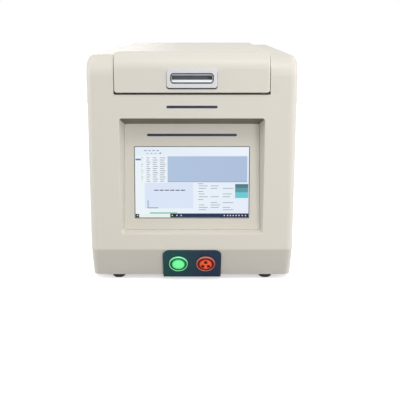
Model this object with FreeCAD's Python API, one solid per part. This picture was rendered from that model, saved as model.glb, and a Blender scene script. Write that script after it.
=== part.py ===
import FreeCAD, Part
import math
import os

# Bench-top x-ray fluorescence spectrometer, millimetres, +Z up, front towards -Y,
# origin on the table under the middle of the casing

# Overall size
overall_width = 395.0
overall_depth = 550.0
overall_height = 450.0
foot_height = 10.0

# Casing walls and outline seen from the side
wall = 4.0
cut_over = 6.0
handle_plate_thick = 3.0
lid_proud = 4.0
front_y = -overall_depth / 2 + handle_plate_thick + lid_proud
rear_overhang = 2.0
rear_y = overall_depth / 2 - rear_overhang
half_width = overall_width / 2
inner_half = half_width - wall
base_z = foot_height
lid_rise = 6.0
shoulder_z = overall_height - lid_rise
shoulder_round = 38.0
chamfer_height = 60.0
chamfer_top_z = base_z + chamfer_height
chamfer_back = 28.0
chamfer_round = 8.0
side_round = 14.0
seam_back = 63.0
seam_y = front_y + seam_back
seam_groove = 0.8
rear_web = 24.0

# Lid and the opening it closes
shoulder_width = 52.5
lid_half = half_width - shoulder_width
lid_gap = 1.5
opening_half = lid_half + lid_gap
lid_height = 74.0
lid_bottom_z = overall_height - lid_height
lid_slope_height = 18.0
lid_break_z = overall_height - lid_slope_height
lid_slope_back = 22.0
lid_thick = 16.0
lid_nose_depth = 18.0
lid_edge_round = 4.0
lid_brow_round = 28.0
lid_crest_round = 30.0
lid_corner_round = 5.0
lid_front_y = front_y - lid_proud
lid_rear_gap = 30.0
lid_rear_y = rear_y - lid_rear_gap
liner_sheet = 2.0
under_slope_height = 20.0
under_slope_back = 38.0
nose_inner_y = lid_front_y + lid_nose_depth
lid_under_z = overall_height - lid_thick
lid_under_y = nose_inner_y + under_slope_back
nose_inner_z = lid_under_z - under_slope_height

# Sill and deck
rest_height = 4.0
sill_z = lid_bottom_z - rest_height
sill_thick = 3.0
deck_thick = 8.0
deck_bore = 20.0
deck_z = sill_z - deck_thick
seat_gap = 0.3
stop_inset = 25.0
stop_end = 15.0
stop_y = front_y + 9.0
stop_half = 2.5
stop_round = 1.0
stop_stud = 2.0

# Lid hinge
hinge_gap = 4.0
leaf_thick = 2.0
hinge_y = lid_rear_y + leaf_thick + hinge_gap
hinge_drop = 10.0
hinge_z = overall_height - hinge_drop
leaf_height = 16.0
leaf_top = 3.5
lid_leaf_top = 5.0
barrel_radius = 3.6
pin_radius = 2.0
running_gap = 0.05
hinge_inset = 55.0
hinge_x = lid_half - hinge_inset
hinge_half = 30.0
knuckle_end = 12.0
knuckle_gap = 0.5
opening_rear_y = hinge_y + hinge_gap + leaf_thick

# Sample chamber
sample_back = 208.0
sample_y = front_y + sample_back
chamber_sheet = 1.5
chamber_land = 9.0
chamber_clear = 4.0
chamber_half = lid_half - chamber_land
chamber_front_y = nose_inner_y + chamber_clear
bay_depth = 93.0
chamber_rear_y = lid_rear_y - bay_depth
seal_height = 2.5
chamber_rim_z = lid_under_z - seal_height - seat_gap
chamber_brow_z = nose_inner_z - chamber_clear
chamber_brow_y = lid_under_y + chamber_clear
seal_width = 6.0
ring_radius = 30.0
ring_height = 4.0
ring_bevel = 1.2
film_radius = 15.0
film_thick = 0.3
window_bore = 9.0

# Handle on the lid
handle_rise = 26.0
handle_z = lid_bottom_z + handle_rise
handle_half_x = 47.0
handle_half_z = 17.5
handle_corner = 5.0
plate_round = 1.2
slot_half_x = 40.0
slot_half_z = 9.5
slot_corner = 6.0
cup_half_x = 46.0
cup_half_z = 15.0
cup_corner = 12.0
cup_depth = 14.5
cup_wall = 2.0
grip_low = 7.0
grip_thick = 2.5
scoop_rise = 6.0
magnet_x = 60.0
magnet_length = 20.0
magnet_depth = 8.0
magnet_height = 6.0
sensor_rim = 2.0
sensor_depth = 12.0
sensor_height = 7.0

# Display recess, whose panel leans back from the upright front
recess_margin_x = 60.0
recess_half_x = half_width - recess_margin_x
recess_foot = 32.0
recess_low_z = chamfer_top_z + recess_foot
recess_head = 45.0
recess_high_z = sill_z - recess_head
recess_depth = 20.0
recess_lean = 5.0
recess_side_slope = 0.2
recess_top_slope = 0.394
recess_wall = 3.0
recess_corner = 5.0
recess_lip_round = 1.5
recess_reach = 48.0
recess_floor_y = front_y + recess_depth
recess_rear_y = recess_floor_y + recess_wall
recess_foot_z = recess_low_z + recess_side_slope * recess_depth
recess_z = (recess_low_z + recess_high_z) / 2
recess_half_z = (recess_high_z - recess_low_z) / 2
panel_thick = 2.0
panel_gap = 0.4
panel_front_y = recess_floor_y - panel_thick

# Display and its computer
display_side = 25.5
display_foot = 26.2
display_head = 57.8
display_half_x = recess_half_x - display_side
display_half_z = recess_half_z - (display_foot + display_head) / 2
display_z = recess_low_z + display_foot + display_half_z
glass_thick = 3.0
glass_rim = 3.5
glass_corner = 2.5
display_corner = 2.0
module_thick = 9.0
module_rim = 1.0
bracket_sheet = 1.5
bracket_rim_x = 18.0
bracket_inset_z = 4.5
bracket_web = 20.0
rail_half = 6.0
post_rim_x = 12.0
post_inset_z = 10.5
post_radius = 4.0
board_thick = 1.6
board_inset_x = 30.0
board_inset_z = 13.5
standoff_length = 12.0
standoff_radius = 3.0
standoff_inset = 7.0
sink_half_x = 30.0
sink_half_z = 25.0
sink_base = 4.0
fin_count = 9
fin_thick = 2.0
fin_height = 12.0
fin_pitch = 5.0
socket_near = 6.0
socket_far = 27.0
socket_tall = 13.0
socket_pitch = 0.6
socket_half = 10.0
strip_width = 20.0
strip_tall = 5.0
strip_inset = 17.0

# Button plate on the sloping lower front
plate_half_x = 57.5
plate_top = 32.0
plate_bottom = -37.0
plate_thick = 4.0
plate_corner = 13.0
plate_foot_corner = 2.0
button_x = 27.0
bezel_radius = 18.5
bezel_height = 3.5
bezel_round = 1.8
cap_radius = 13.0
cap_low = 2.0
moving_gap = 0.3
neck_radius = 15.0
neck_length = 12.0
cap_top = 8.5
stem_radius = 6.0
stem_length = 16.0
switch_radius = 17.0
switch_depth = 36.0
nut_radius = 20.0
nut_height = 4.0
bore_depth = 24.0

# Base and feet
tray_thick = 3.0
tray_top_z = base_z + tray_thick
tray_flange = 12.0
foot_radius = 14.0
foot_sole = 10.0
foot_swell = 13.1
foot_seat = 4.0
foot_pocket = 5.0
foot_inset_x = 49.5
foot_inset_y = 55.0
cover_screw_z = base_z + 10.0
cover_screw_front = 88.0
cover_screw_rear = 33.0
slot_width = 4.0
slot_pitch = 12.0
floor_slots = 5
floor_slot_half = 60.0

# Inner frame
frame_sheet = 2.0
frame_inset = 29.5
frame_x = half_width - frame_inset
frame_flange = 18.0
frame_back = 68.0
frame_front_y = front_y + frame_back
frame_hole_radius = 34.0
frame_hole_first = 60.0
frame_hole_pitch = 120.0
frame_hole_drop = 74.0
boss_inset = 19.5
boss_radius = 5.0
boss_low_z = chamfer_top_z + 30.0
boss_high_z = deck_z - 24.0
bracket_low_z = boss_low_z - 40.0
bracket_high_z = boss_high_z + 10.0
bracket_flange = 20.0
tab_in = 8.0
tab_out = 18.0
deck_front_y = front_y + 28.0

# Rear wall and its fittings
rear_panel_thick = 2.0
rear_panel_y = rear_y - 3.0
deck_rear_y = rear_panel_y - 18.0
lug_reach = 17.5
lug_depth = 10.0
lug_half = 7.0
rear_screw_inset = 13.5
rear_screw_low = 60.0
rear_screw_drop = 64.0
vent_rear = 48.0
vent_length = 95.0
vent_low_z = 60.0
vent_count = 9
fan_inset = 117.5
fan_x = -(half_width - fan_inset)
fan_z = overall_height / 2 + 5.0
fan_half = 60.0
fan_depth = 25.0
fan_bore = 57.5
fan_hub = 19.0
fan_blades = 7
hub_depth = 19.0
spoke_thick = 3.0
blade_pitch = 38.0
fan_hole_pitch = 52.5
guard_wire = 1.25
guard_rings = 5
guard_first = 14.0
guard_pitch = 10.0
inlet_inset = 77.5
inlet_x = half_width - inlet_inset
inlet_z = 65.0
flange_half_x = 26.0
flange_half_z = 37.0
flange_thick = 3.0
inlet_body_half_x = 22.0
inlet_body_half_z = 33.0
inlet_depth = 30.0
socket_z = inlet_z - 19.0
socket_half_x = 13.0
socket_half_z = 9.0
socket_depth = 18.0
fuse_depth = 20.0
fuse_z = inlet_z + 2.0
fuse_half_x = 13.0
fuse_half_z = 5.0
rocker_pocket = 14.0
rocker_pocket_half = 9.6
rocker_half_x = 5.7
rocker_pivot = 1.2
rocker_pivot_reach = 1.6
rocker_rest = 8.0
rocker_y = rear_panel_y - 2.0
rocker_z = inlet_z + 20.0
port_x = 50.0
port_z = 135.0
port_half_x = 30.0
port_half_z = 15.0
port_depth = 15.0
port_cavity = 12.0
port_rim = 4.0
stud_x = 60.0
stud_z = 40.0
stud_radius = 2.5
nut_reach = 4.6
nut_thick = 3.5

# X-ray tube under the window, measured down from the deck
tube_radius = 22.0
snout_radius = 12.0
tube_neck_drop = 101.0
tube_nose_drop = 42.0
tube_low_drop = 204.0
shield_wall = 6.0
shield_high_drop = 97.0
shield_low_drop = 208.0
shield_radius = tube_radius + shield_wall
tube_neck_z = deck_z - tube_neck_drop
tube_low_z = deck_z - tube_low_drop
shield_high_z = deck_z - shield_high_drop
shield_low_z = deck_z - shield_low_drop
gland_radius = 8.0
gland_length = 8.0
gland_drop = 179.0
gland_z = deck_z - gland_drop

# Optics block and filter changer
block_drop = 54.0
block_left = 75.0
block_right = 62.0
block_half = 40.0
wheel_x = -30.0
wheel_radius = 38.0
wheel_thick = 4.0
wheel_drop = 30.0
wheel_room = 3.0
wheel_low_z = deck_z - wheel_drop
foil_z = wheel_low_z + 1.0
beam_bore = 5.0
wheel_shaft = 3.0
wheel_shaft_drop = 74.0
foil_count = 6
foil_ring = 30.0
foil_radius = 6.0
foil_thick = 0.4
motor_radius = 14.0
motor_low_drop = 89.0
motor_bore_drop = 79.0

# Detector, which looks at the sample at an angle
detector_angle = 45.0
beam_z = sill_z + 2.0
detector_near = 62.0
detector_far = 104.0
detector_end = 126.0
detector_fins = 5
detector_radius = 17.0
detector_nose = 8.0
detector_finger = 10.0
detector_fin = 21.0

# Cradle, supplies and boards on the base tray
cradle_half_x = 45.0
cradle_half_y = 40.0
cradle_sheet = 2.0
cradle_foot = 16.0
cradle_hole_share = 0.11
hv_right = -15.0
hv_length = 96.0
hv_rear_gap = 20.0
supply_front_y = rear_panel_y - hv_rear_gap - hv_length
hv_height = 110.0
hv_gland_x = -50.0
hv_gland_z = 95.0
hv_gland_length = 4.0
lead_radius = 4.0
lead_start_share = 0.414
lead_end_share = 0.586
power_left = 20.0
power_gap = 23.0
power_rim = 15.0
power_length = 115.0
power_rear_gap = 35.0
power_height = 50.0
processor_x = frame_x - 14.4
processor_inset = 10.0
chip_shares = ((0.29, 0.57, 0.36, 0.64), (0.68, 0.89, 0.29, 0.5))
chip_tall = 7.0
plug_count = 4
plug_tall = 12.0
plug_half = 10.0
processor_back = 40.0
processor_length = 140.0
processor_low_z = 60.0
processor_height = 140.0

# Screws: shank radius, head radius and head height
small_shank = 1.5
small_head = 2.8
small_head_height = 1.6
large_shank = 2.0
large_head = 3.8
large_head_height = 2.2
small_length = 12.0
large_length = 8.0


def vec(x, y, z):
    return FreeCAD.Vector(x, y, z)


def box(x0, x1, y0, y1, z0, z1):
    return Part.makeBox(x1 - x0, y1 - y0, z1 - z0, vec(x0, y0, z0))


def rod(radius, start, end):
    along = end - start
    return Part.makeCylinder(radius, along.Length, start, along)


def tube(outer, inner, start, end):
    return rod(outer, start, end).cut(rod(inner, start, end))


def fused(shapes):
    joined = shapes[0]
    if len(shapes) > 1:
        joined = joined.fuse(shapes[1:])
    return joined.removeSplitter()


def group(shapes):
    return Part.makeCompound(shapes)


def mirrored(shape):
    return shape.mirror(vec(0, 0, 0), vec(1, 0, 0))


# Outlines drawn in the side plane
def inset_outline(points, insets):
    count = len(points)
    area = sum(points[i - 1][0] * points[i][1] - points[i][0] * points[i - 1][1] for i in range(count))
    turn = 1.0 if area > 0 else -1.0
    lines = []
    for i in range(count):
        start = points[i]
        end = points[(i + 1) % count]
        length = math.hypot(end[0] - start[0], end[1] - start[1])
        along = ((end[0] - start[0]) / length, (end[1] - start[1]) / length)
        inward = (-along[1] * turn, along[0] * turn)
        moved = (start[0] + inward[0] * insets[i], start[1] + inward[1] * insets[i])
        lines.append((moved, along))
    corners = []
    for i in range(count):
        first, first_along = lines[i - 1]
        second, second_along = lines[i]
        cross = first_along[0] * second_along[1] - first_along[1] * second_along[0]
        gap = (second[0] - first[0], second[1] - first[1])
        reach = (gap[0] * second_along[1] - gap[1] * second_along[0]) / cross
        corners.append((first[0] + first_along[0] * reach, first[1] + first_along[1] * reach))
    return corners


def rounded_wire(points, radii):
    edges = []
    marks = []
    count = len(points)
    for i in range(count):
        corner = points[i]
        if radii[i] <= 0:
            marks.append((corner, corner))
            continue
        before = (points[i - 1] - corner).normalize()
        after = (points[(i + 1) % count] - corner).normalize()
        half = before.getAngle(after) / 2
        reach = radii[i] / math.tan(half)
        bisector = (before + after).normalize()
        middle = corner + bisector * (radii[i] / math.sin(half) - radii[i])
        start = corner + before * reach
        end = corner + after * reach
        edges.append(Part.Arc(start, middle, end).toShape())
        marks.append((start, end))
    for i in range(count):
        start = marks[i - 1][1]
        end = marks[i][0]
        edges.append(Part.LineSegment(start, end).toShape())
    return Part.Wire(Part.__sortEdges__(edges))


def side_prism(outline, radii, x0, x1):
    points = [vec(x0, y, z) for y, z in outline]
    face = Part.Face(rounded_wire(points, radii))
    return face.extrude(vec(x1 - x0, 0, 0))


def plate(half_x, half_z, centre_z, y0, y1, corner, centre_x=0.0):
    xs = (centre_x - half_x, centre_x + half_x)
    zs = (centre_z - half_z, centre_z + half_z)
    points = [vec(xs[0], y0, zs[0]), vec(xs[1], y0, zs[0]), vec(xs[1], y0, zs[1]), vec(xs[0], y0, zs[1])]
    face = Part.Face(rounded_wire(points, [corner] * 4))
    return face.extrude(vec(0, y1 - y0, 0))


def shell_prism(outline, radii, half, edge_round, last_y, low_z):
    solid = side_prism(outline, radii, -half, half)
    edges = []
    for edge in solid.Edges:
        middle = edge.CenterOfMass
        on_side = abs(abs(middle.x) - half) < 0.01
        if on_side and middle.y < last_y - 0.5 and middle.z > low_z + 0.5:
            edges.append(edge)
    return solid.makeFillet(edge_round, edges)


# Casing skin
def casing(inset, spare):
    points = [
        (front_y + chamfer_back, base_z),
        (front_y, chamfer_top_z),
        (front_y, shoulder_z),
        (rear_y, shoulder_z),
        (rear_y, base_z),
    ]
    outline = inset_outline(points, [inset, inset, inset, -spare, -spare])
    radii = [0, chamfer_round - inset, shoulder_round - inset, 0, 0]
    half = half_width - inset
    return shell_prism(outline, radii, half, side_round - inset, rear_y + spare, base_z - spare)


def casing_skin(outer, cavity):
    skin = outer.cut(cavity)
    top = overall_height + cut_over
    skin = skin.cut(box(-opening_half, opening_half, front_y - cut_over, opening_rear_y, sill_z, top))
    parts = [skin]
    for side in (-1, 1):
        near = side * opening_half
        far = side * (opening_half + wall)
        cheek = box(min(near, far), max(near, far), front_y, opening_rear_y + wall, sill_z + seat_gap, top)
        parts.append(cheek.common(outer))
    cheek_half = opening_half + wall
    web_rear = opening_rear_y + sill_thick
    web_low = shoulder_z - rear_web
    parts.append(box(-cheek_half, cheek_half, opening_rear_y, web_rear, web_low, shoulder_z - 1.0))
    parts.append(box(-cheek_half, cheek_half, front_y + 1.0, deck_front_y, sill_z - sill_thick, sill_z))
    return fused(parts)


def seam_cut(outer, under_seam):
    slab = box(-overall_width, overall_width, seam_y - seam_groove, seam_y + seam_groove, 0, overall_height)
    return outer.cut(under_seam).common(slab)


def recess_loop(grow, y):
    depth = y - front_y
    half_x = recess_half_x - recess_side_slope * depth + grow
    low = recess_low_z + recess_side_slope * depth - grow
    high = recess_high_z - recess_top_slope * depth + grow
    points = [vec(-half_x, y, low), vec(half_x, y, low), vec(half_x, y, high), vec(-half_x, y, high)]
    return rounded_wire(points, [recess_corner] * 4)


def recess_block(grow, front):
    loops = [recess_loop(grow, y) for y in (front, front_y + recess_reach)]
    return Part.makeLoft(loops, True, True)


# The panel and all behind it lean back about the foot of the recess
def on_panel(shape):
    moved = shape.copy()
    moved.rotate(vec(0, recess_floor_y, recess_foot_z), vec(1, 0, 0), -recess_lean)
    return moved


def panel_slab(front, back):
    return on_panel(box(-overall_width, overall_width, front, back, 0, overall_height))


def behind_panel(offset):
    return panel_slab(recess_floor_y + offset, recess_floor_y + overall_depth)


def on_chamfer(shape):
    angle = 90.0 + math.degrees(math.atan2(chamfer_back, chamfer_top_z - base_z))
    moved = shape.copy()
    moved.rotate(vec(0, 0, 0), vec(1, 0, 0), angle)
    moved.translate(vec(0, front_y + chamfer_back / 2, (chamfer_top_z + base_z) / 2))
    return moved


def boss_places():
    return [(side * (half_width - boss_inset), z) for side in (-1, 1) for z in (boss_low_z, boss_high_z)]


def on_recess_lip(edge):
    middle = edge.CenterOfMass
    near_x = abs(middle.x) < recess_half_x + 1.0
    near_z = abs(middle.z - recess_z) < recess_half_z + 1.0
    return abs(middle.y - front_y) < 0.01 and near_x and near_z


def stop_studs():
    studs = []
    for side in (-1, 1):
        x = side * (lid_half - stop_inset)
        studs.append(rod(stop_stud, vec(x, stop_y, sill_z - stop_stud), vec(x, stop_y, sill_z)))
    return studs


def front_shell(skin, groove):
    shell = skin.common(box(-overall_width, overall_width, front_y - cut_over, seam_y, 0, overall_height))
    tray = recess_block(recess_wall, front_y + 1.0).cut(behind_panel(recess_wall))
    boss_front = front_y + wall - 1.0
    boss_back = frame_front_y - frame_sheet
    bosses = [rod(boss_radius, vec(x, boss_front, z), vec(x, boss_back, z)) for x, z in boss_places()]
    shell = fused([shell, tray] + bosses)
    shell = shell.cut(recess_block(0.0, front_y - cut_over).cut(behind_panel(0.0)))
    lip = [edge for edge in shell.Edges if on_recess_lip(edge)]
    shell = shell.makeFillet(recess_lip_round, lip)
    window = plate(display_half_x + glass_rim, display_half_z + glass_rim, display_z,
                   recess_floor_y - 1.0, recess_rear_y + 1.0, glass_corner + 0.5)
    shell = shell.cut(on_panel(window))
    for side in (-1, 1):
        hole = rod(neck_radius, vec(side * button_x, 0, -wall * 2), vec(side * button_x, 0, wall))
        shell = shell.cut(on_chamfer(hole))
    pilots = []
    for x, z in boss_places():
        pilots.append(rod(small_shank, vec(x, boss_back - small_length, z), vec(x, boss_back, z)))
    for x, z in bracket_places():
        pilots.append(on_panel(rod(small_shank, vec(x, recess_rear_y - 2.0, z), vec(x, recess_rear_y, z))))
    return shell.cut(group(pilots + stop_studs())).cut(groove)


def vent_slot(y0, y1, z, side):
    half = slot_width / 2
    near = side * (inner_half - 1.0)
    far = side * (half_width + 1.0)
    middle = box(min(near, far), max(near, far), y0, y1, z - half, z + half)
    ends = [rod(half, vec(near, y, z), vec(far, y, z)) for y in (y0, y1)]
    return fused([middle] + ends)


def vent_rows():
    return [vent_low_z + slot_pitch * row for row in range(vent_count)]


def cover_screw_places():
    first = front_y + cover_screw_front
    last = rear_y - cover_screw_rear
    return [(side, y) for side in (-1, 1) for y in (first, (first + last) / 2, last)]


def main_cover(skin, groove):
    cover = skin.common(box(-overall_width, overall_width, seam_y, rear_y, 0, overall_height))
    cover = fused([cover] + rear_lugs())
    last = rear_y - vent_rear
    slots = [vent_slot(last - vent_length, last, z, side) for side in (-1, 1) for z in vent_rows()]
    holes = []
    for side, y in cover_screw_places():
        near = vec(side * (inner_half - 1.0), y, cover_screw_z)
        holes.append(rod(large_shank, near, vec(side * half_width, y, cover_screw_z)))
    return cover.cut(group(slots + holes)).cut(groove)


# Base tray and feet
def foot_places():
    x = half_width - foot_inset_x
    y = overall_depth / 2 - foot_inset_y
    return [(sx * x, sy * y) for sx in (-1, 1) for sy in (-1, 1)]


def base_tray(cavity):
    lean = math.atan2(chamfer_back, chamfer_height)
    front = front_y + chamfer_back + wall / math.cos(lean) + seat_gap
    rear = rear_panel_y - rear_panel_thick
    floor = box(-inner_half, inner_half, front, rear, base_z, tray_top_z)
    inner = inner_half - frame_sheet
    top = tray_top_z + tray_flange
    rim = box(-inner_half, inner_half, front, rear, tray_top_z, top)
    rim = rim.cut(box(-inner, inner, front + frame_sheet, rear - frame_sheet, tray_top_z, top))
    tray = fused([floor, rim]).common(cavity)
    for x, y in foot_places():
        tray = tray.cut(rod(large_shank, vec(x, y, 0), vec(x, y, tray_top_z)))
    for side, y in cover_screw_places():
        near = vec(side * (inner - 1.0), y, cover_screw_z)
        tray = tray.cut(rod(large_shank, near, vec(side * inner_half, y, cover_screw_z)))
    slots = []
    for row in range(floor_slots):
        y = frame_front_y + slot_pitch * row
        slots.append(box(-floor_slot_half, floor_slot_half, y, y + slot_width, base_z, tray_top_z))
    return tray.cut(group(slots))


def foot(x, y):
    profile = Part.Wire([
        Part.LineSegment(vec(0, 0, 0), vec(foot_sole, 0, 0)).toShape(),
        Part.Arc(vec(foot_sole, 0, 0), vec(foot_swell, 0, foot_height / 3),
                 vec(foot_radius, 0, foot_height)).toShape(),
        Part.LineSegment(vec(foot_radius, 0, foot_height), vec(0, 0, foot_height)).toShape(),
        Part.LineSegment(vec(0, 0, foot_height), vec(0, 0, 0)).toShape(),
    ])
    solid = Part.Face(profile).revolve(vec(0, 0, 0), vec(0, 0, 1), 360)
    solid.translate(vec(x, y, 0))
    solid = solid.cut(rod(large_shank, vec(x, y, 0), vec(x, y, foot_height)))
    return solid.cut(rod(foot_pocket, vec(x, y, 0), vec(x, y, foot_seat)))


def screw(shank, head, head_height, seat, direction, length):
    along = vec(direction[0], direction[1], direction[2])
    point = vec(seat[0], seat[1], seat[2])
    top = rod(head, point, point - along * head_height)
    crown = [edge for edge in top.Edges if (edge.CenterOfMass - point).Length > head_height * 0.9]
    top = top.makeFillet(head_height * 0.4, [crown[0]])
    stem = rod(shank, point - along * 0.2, point + along * length)
    drive = rod(shank * 0.7, point - along * head_height, point - along * head_height * 0.5)
    return top.fuse(stem).removeSplitter().cut(drive)


# Inner frame
def side_frame(side):
    near = frame_x + frame_sheet - frame_flange
    rear = rear_panel_y - rear_panel_thick
    web = box(frame_x, frame_x + frame_sheet, frame_front_y, deck_rear_y, tray_top_z, deck_z)
    low = box(near, frame_x, frame_front_y, deck_rear_y, tray_top_z, tray_top_z + frame_sheet)
    high = box(near, frame_x, frame_front_y, deck_rear_y, deck_z - frame_sheet, deck_z)
    back_low = tray_top_z + tray_flange
    back = box(near, frame_x + frame_sheet, deck_rear_y, rear, back_low, deck_z)
    back = back.cut(box(near, frame_x, deck_rear_y, rear - frame_sheet, back_low, deck_z))
    frame = fused([web, low, high, back])
    z = deck_z - frame_hole_drop
    for step in range(3):
        y = frame_front_y + frame_hole_first + frame_hole_pitch * step
        frame = frame.cut(rod(frame_hole_radius, vec(frame_x - frame_sheet, y, z), vec(frame_x + wall, y, z)))
    if side < 0:
        frame = mirrored(frame)
    return frame


def front_brackets():
    shapes = []
    for side in (-1, 1):
        low = bracket_low_z
        high = bracket_high_z
        tab = box(frame_x - tab_in, frame_x + tab_out, frame_front_y - frame_sheet, frame_front_y, low, high)
        back = box(frame_x - frame_sheet, frame_x, frame_front_y, frame_front_y + bracket_flange, low, high)
        bracket = fused([tab, back])
        for x, z in boss_places():
            if x > 0:
                hole = rod(small_shank, vec(x, frame_front_y - wall, z), vec(x, frame_front_y + wall, z))
                bracket = bracket.cut(hole)
        shapes.append(bracket if side > 0 else mirrored(bracket))
    return group(shapes)


def inner_screws():
    shapes = []
    for x, z in boss_places():
        seat = (x, frame_front_y, z)
        shapes.append(screw(small_shank, small_head, small_head_height, seat, (0, -1, 0), small_length))
    back = recess_rear_y + module_thick + bracket_sheet
    for x, z in bracket_places():
        fixing = screw(small_shank, small_head, small_head_height, (x, back, z), (0, -1, 0), small_length)
        shapes.append(on_panel(fixing))
    return group(shapes)


def deck_plate():
    half = frame_x + frame_sheet
    deck = box(-half, half, deck_front_y, deck_rear_y, deck_z, sill_z)
    return deck.cut(rod(deck_bore, vec(0, sample_y, deck_z), vec(0, sample_y, sill_z)))


# Sample chamber
def chamber_tray():
    low = sill_z
    floor_top = low + chamber_sheet
    outer_half = chamber_half + chamber_sheet
    rear = chamber_rear_y + chamber_sheet
    floor = box(-outer_half, outer_half, chamber_front_y, rear, low, floor_top)
    floor = floor.cut(rod(ring_radius, vec(0, sample_y, low), vec(0, sample_y, floor_top)))
    wall_outline = [
        (chamber_front_y, floor_top),
        (chamber_front_y, chamber_brow_z),
        (chamber_brow_y, chamber_rim_z),
        (rear, chamber_rim_z),
        (rear, floor_top),
    ]
    panels = [floor, box(-chamber_half, chamber_half, chamber_rear_y, rear, floor_top, chamber_rim_z)]
    for side in (-1, 1):
        near = side * chamber_half
        far = side * outer_half
        panels.append(side_prism(wall_outline, [0] * 5, min(near, far), max(near, far)))
        edge = side * (opening_half - seat_gap)
        flange_low = chamber_rim_z - chamber_sheet
        panels.append(box(min(far, edge), max(far, edge), chamber_brow_y, rear, flange_low, chamber_rim_z))
    return group(panels)


def bay_cover():
    rear = hinge_y + hinge_gap - 0.5
    low = chamber_rim_z - chamber_sheet
    half = opening_half - seat_gap
    return box(-half, half, chamber_rear_y + chamber_sheet, rear, low, chamber_rim_z)


def window_ring():
    top = sill_z + ring_height
    high = vec(0, sample_y, top)
    ring = tube(ring_radius - seat_gap, window_bore, vec(0, sample_y, sill_z), high)
    edges = [e for e in ring.Edges if e.CenterOfMass.z > top - 0.1 and e.Length > math.tau * film_radius]
    ring = ring.makeChamfer(ring_bevel, edges)
    return ring.cut(rod(film_radius, vec(0, sample_y, top - 1.0), high))


def window_film():
    low = sill_z + ring_height - 1.0
    return rod(film_radius, vec(0, sample_y, low), vec(0, sample_y, low + film_thick))


# Lid
def lid_outline():
    return [
        (lid_front_y, lid_bottom_z),
        (lid_front_y, lid_break_z),
        (lid_front_y + lid_slope_back, overall_height),
        (lid_rear_y, overall_height),
        (lid_rear_y, lid_bottom_z),
    ]


def lid_block(inset):
    outline = inset_outline(lid_outline(), [inset] * 5)
    radii = [0, lid_brow_round - inset, lid_crest_round - inset, 0, 0]
    rear = lid_rear_y - inset
    low = lid_bottom_z + inset
    return shell_prism(outline, radii, lid_half - inset, max(lid_edge_round - inset, 1.0), rear, low)


def under_lid_points(lift):
    over = overall_width
    points = [
        (nose_inner_y, lid_bottom_z - over),
        (nose_inner_y, nose_inner_z),
        (lid_under_y, lid_under_z),
        (lid_rear_y + over, lid_under_z),
        (lid_rear_y + over, lid_bottom_z - over),
    ]
    return inset_outline(points, [-lift] * 5)


def under_lid(lift, half):
    return side_prism(under_lid_points(lift), [0] * 5, -half, half)


def lid_shell():
    outline_half = (overall_width + overall_height - lid_bottom_z) / 2
    middle = lid_bottom_z + outline_half
    outline = plate(lid_half, outline_half, middle, lid_front_y, lid_rear_y, lid_corner_round)
    shell = lid_block(0.0).common(outline).cut(lid_block(wall))
    shell = shell.cut(under_lid(0.0, overall_width))
    hole = plate(cup_half_x, cup_half_z, handle_z, lid_front_y - 1.0, lid_front_y + wall + 1.0, cup_corner)
    return shell.cut(hole)


def lid_liner():
    sheet = under_lid(liner_sheet, lid_half - wall).cut(under_lid(0.0, overall_width))
    space = box(-lid_half, lid_half, lid_front_y, lid_rear_y - wall, lid_bottom_z + wall, overall_height)
    return sheet.common(space)


def lid_seal():
    low = chamber_rim_z + seat_gap
    outer = chamber_half + chamber_sheet + seal_width
    inner = outer - seal_width
    rear = chamber_rear_y + chamber_sheet
    ring = box(-outer, outer, lid_under_y + seal_width, rear, low, lid_under_z)
    return ring.cut(box(-inner, inner, lid_under_y, rear - seal_width, low, lid_under_z))


def handle_plate():
    front = lid_front_y - handle_plate_thick
    solid = plate(handle_half_x, handle_half_z, handle_z, front, lid_front_y, handle_corner)
    edges = [e for e in solid.Edges if abs(e.CenterOfMass.y - front) < 0.01]
    solid = solid.makeFillet(plate_round, edges)
    return solid.cut(plate(slot_half_x, slot_half_z, handle_z, front - 1.0, lid_front_y + 1.0, slot_corner))


def handle_cup():
    back = lid_front_y + cup_depth
    floor = back - cup_wall
    solid = plate(cup_half_x, cup_half_z, handle_z, lid_front_y, back, cup_corner)
    hollow_half_z = cup_half_z - cup_wall
    hollow = plate(cup_half_x - cup_wall, hollow_half_z, handle_z, lid_front_y, floor, cup_corner - cup_wall)
    low = handle_z - hollow_half_z
    sill = handle_z - slot_half_z
    scoop_outline = [(lid_front_y, low), (lid_front_y, sill), (floor, sill + scoop_rise), (floor, low)]
    scoop = side_prism(scoop_outline, [0] * 4, -cup_half_x, cup_half_x)
    lip_front = lid_front_y + 1.0
    lip_low = handle_z + grip_low
    lip = box(-cup_half_x, cup_half_x, lip_front, lip_front + grip_thick, lip_low, handle_z + cup_half_z)
    return fused([solid.cut(hollow), scoop.common(hollow), lip.common(hollow)])


def lid_stops():
    half = lid_half - stop_end
    strip = box(-half, half, stop_y - stop_half, stop_y + stop_half, sill_z, lid_bottom_z - seat_gap)
    edges = [e for e in strip.Edges if e.CenterOfMass.z > lid_bottom_z - 1.0 and e.Length > half]
    return fused([strip.makeFillet(stop_round, edges)] + stop_studs())


def interlock_magnet():
    low = lid_bottom_z + wall
    front = lid_front_y + wall
    return box(magnet_x, magnet_x + magnet_length, front, front + magnet_depth, low, low + magnet_height)


def interlock_sensor():
    high = sill_z - sill_thick
    front = front_y + wall + 2.0
    end = magnet_x + magnet_length + sensor_rim
    return box(magnet_x - sensor_rim, end, front, front + sensor_depth, high - sensor_height, high)


def hinge_ends(centre):
    left = centre - hinge_half
    right = centre + hinge_half
    return [(left, left + knuckle_end), (right - knuckle_end, right)]


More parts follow.
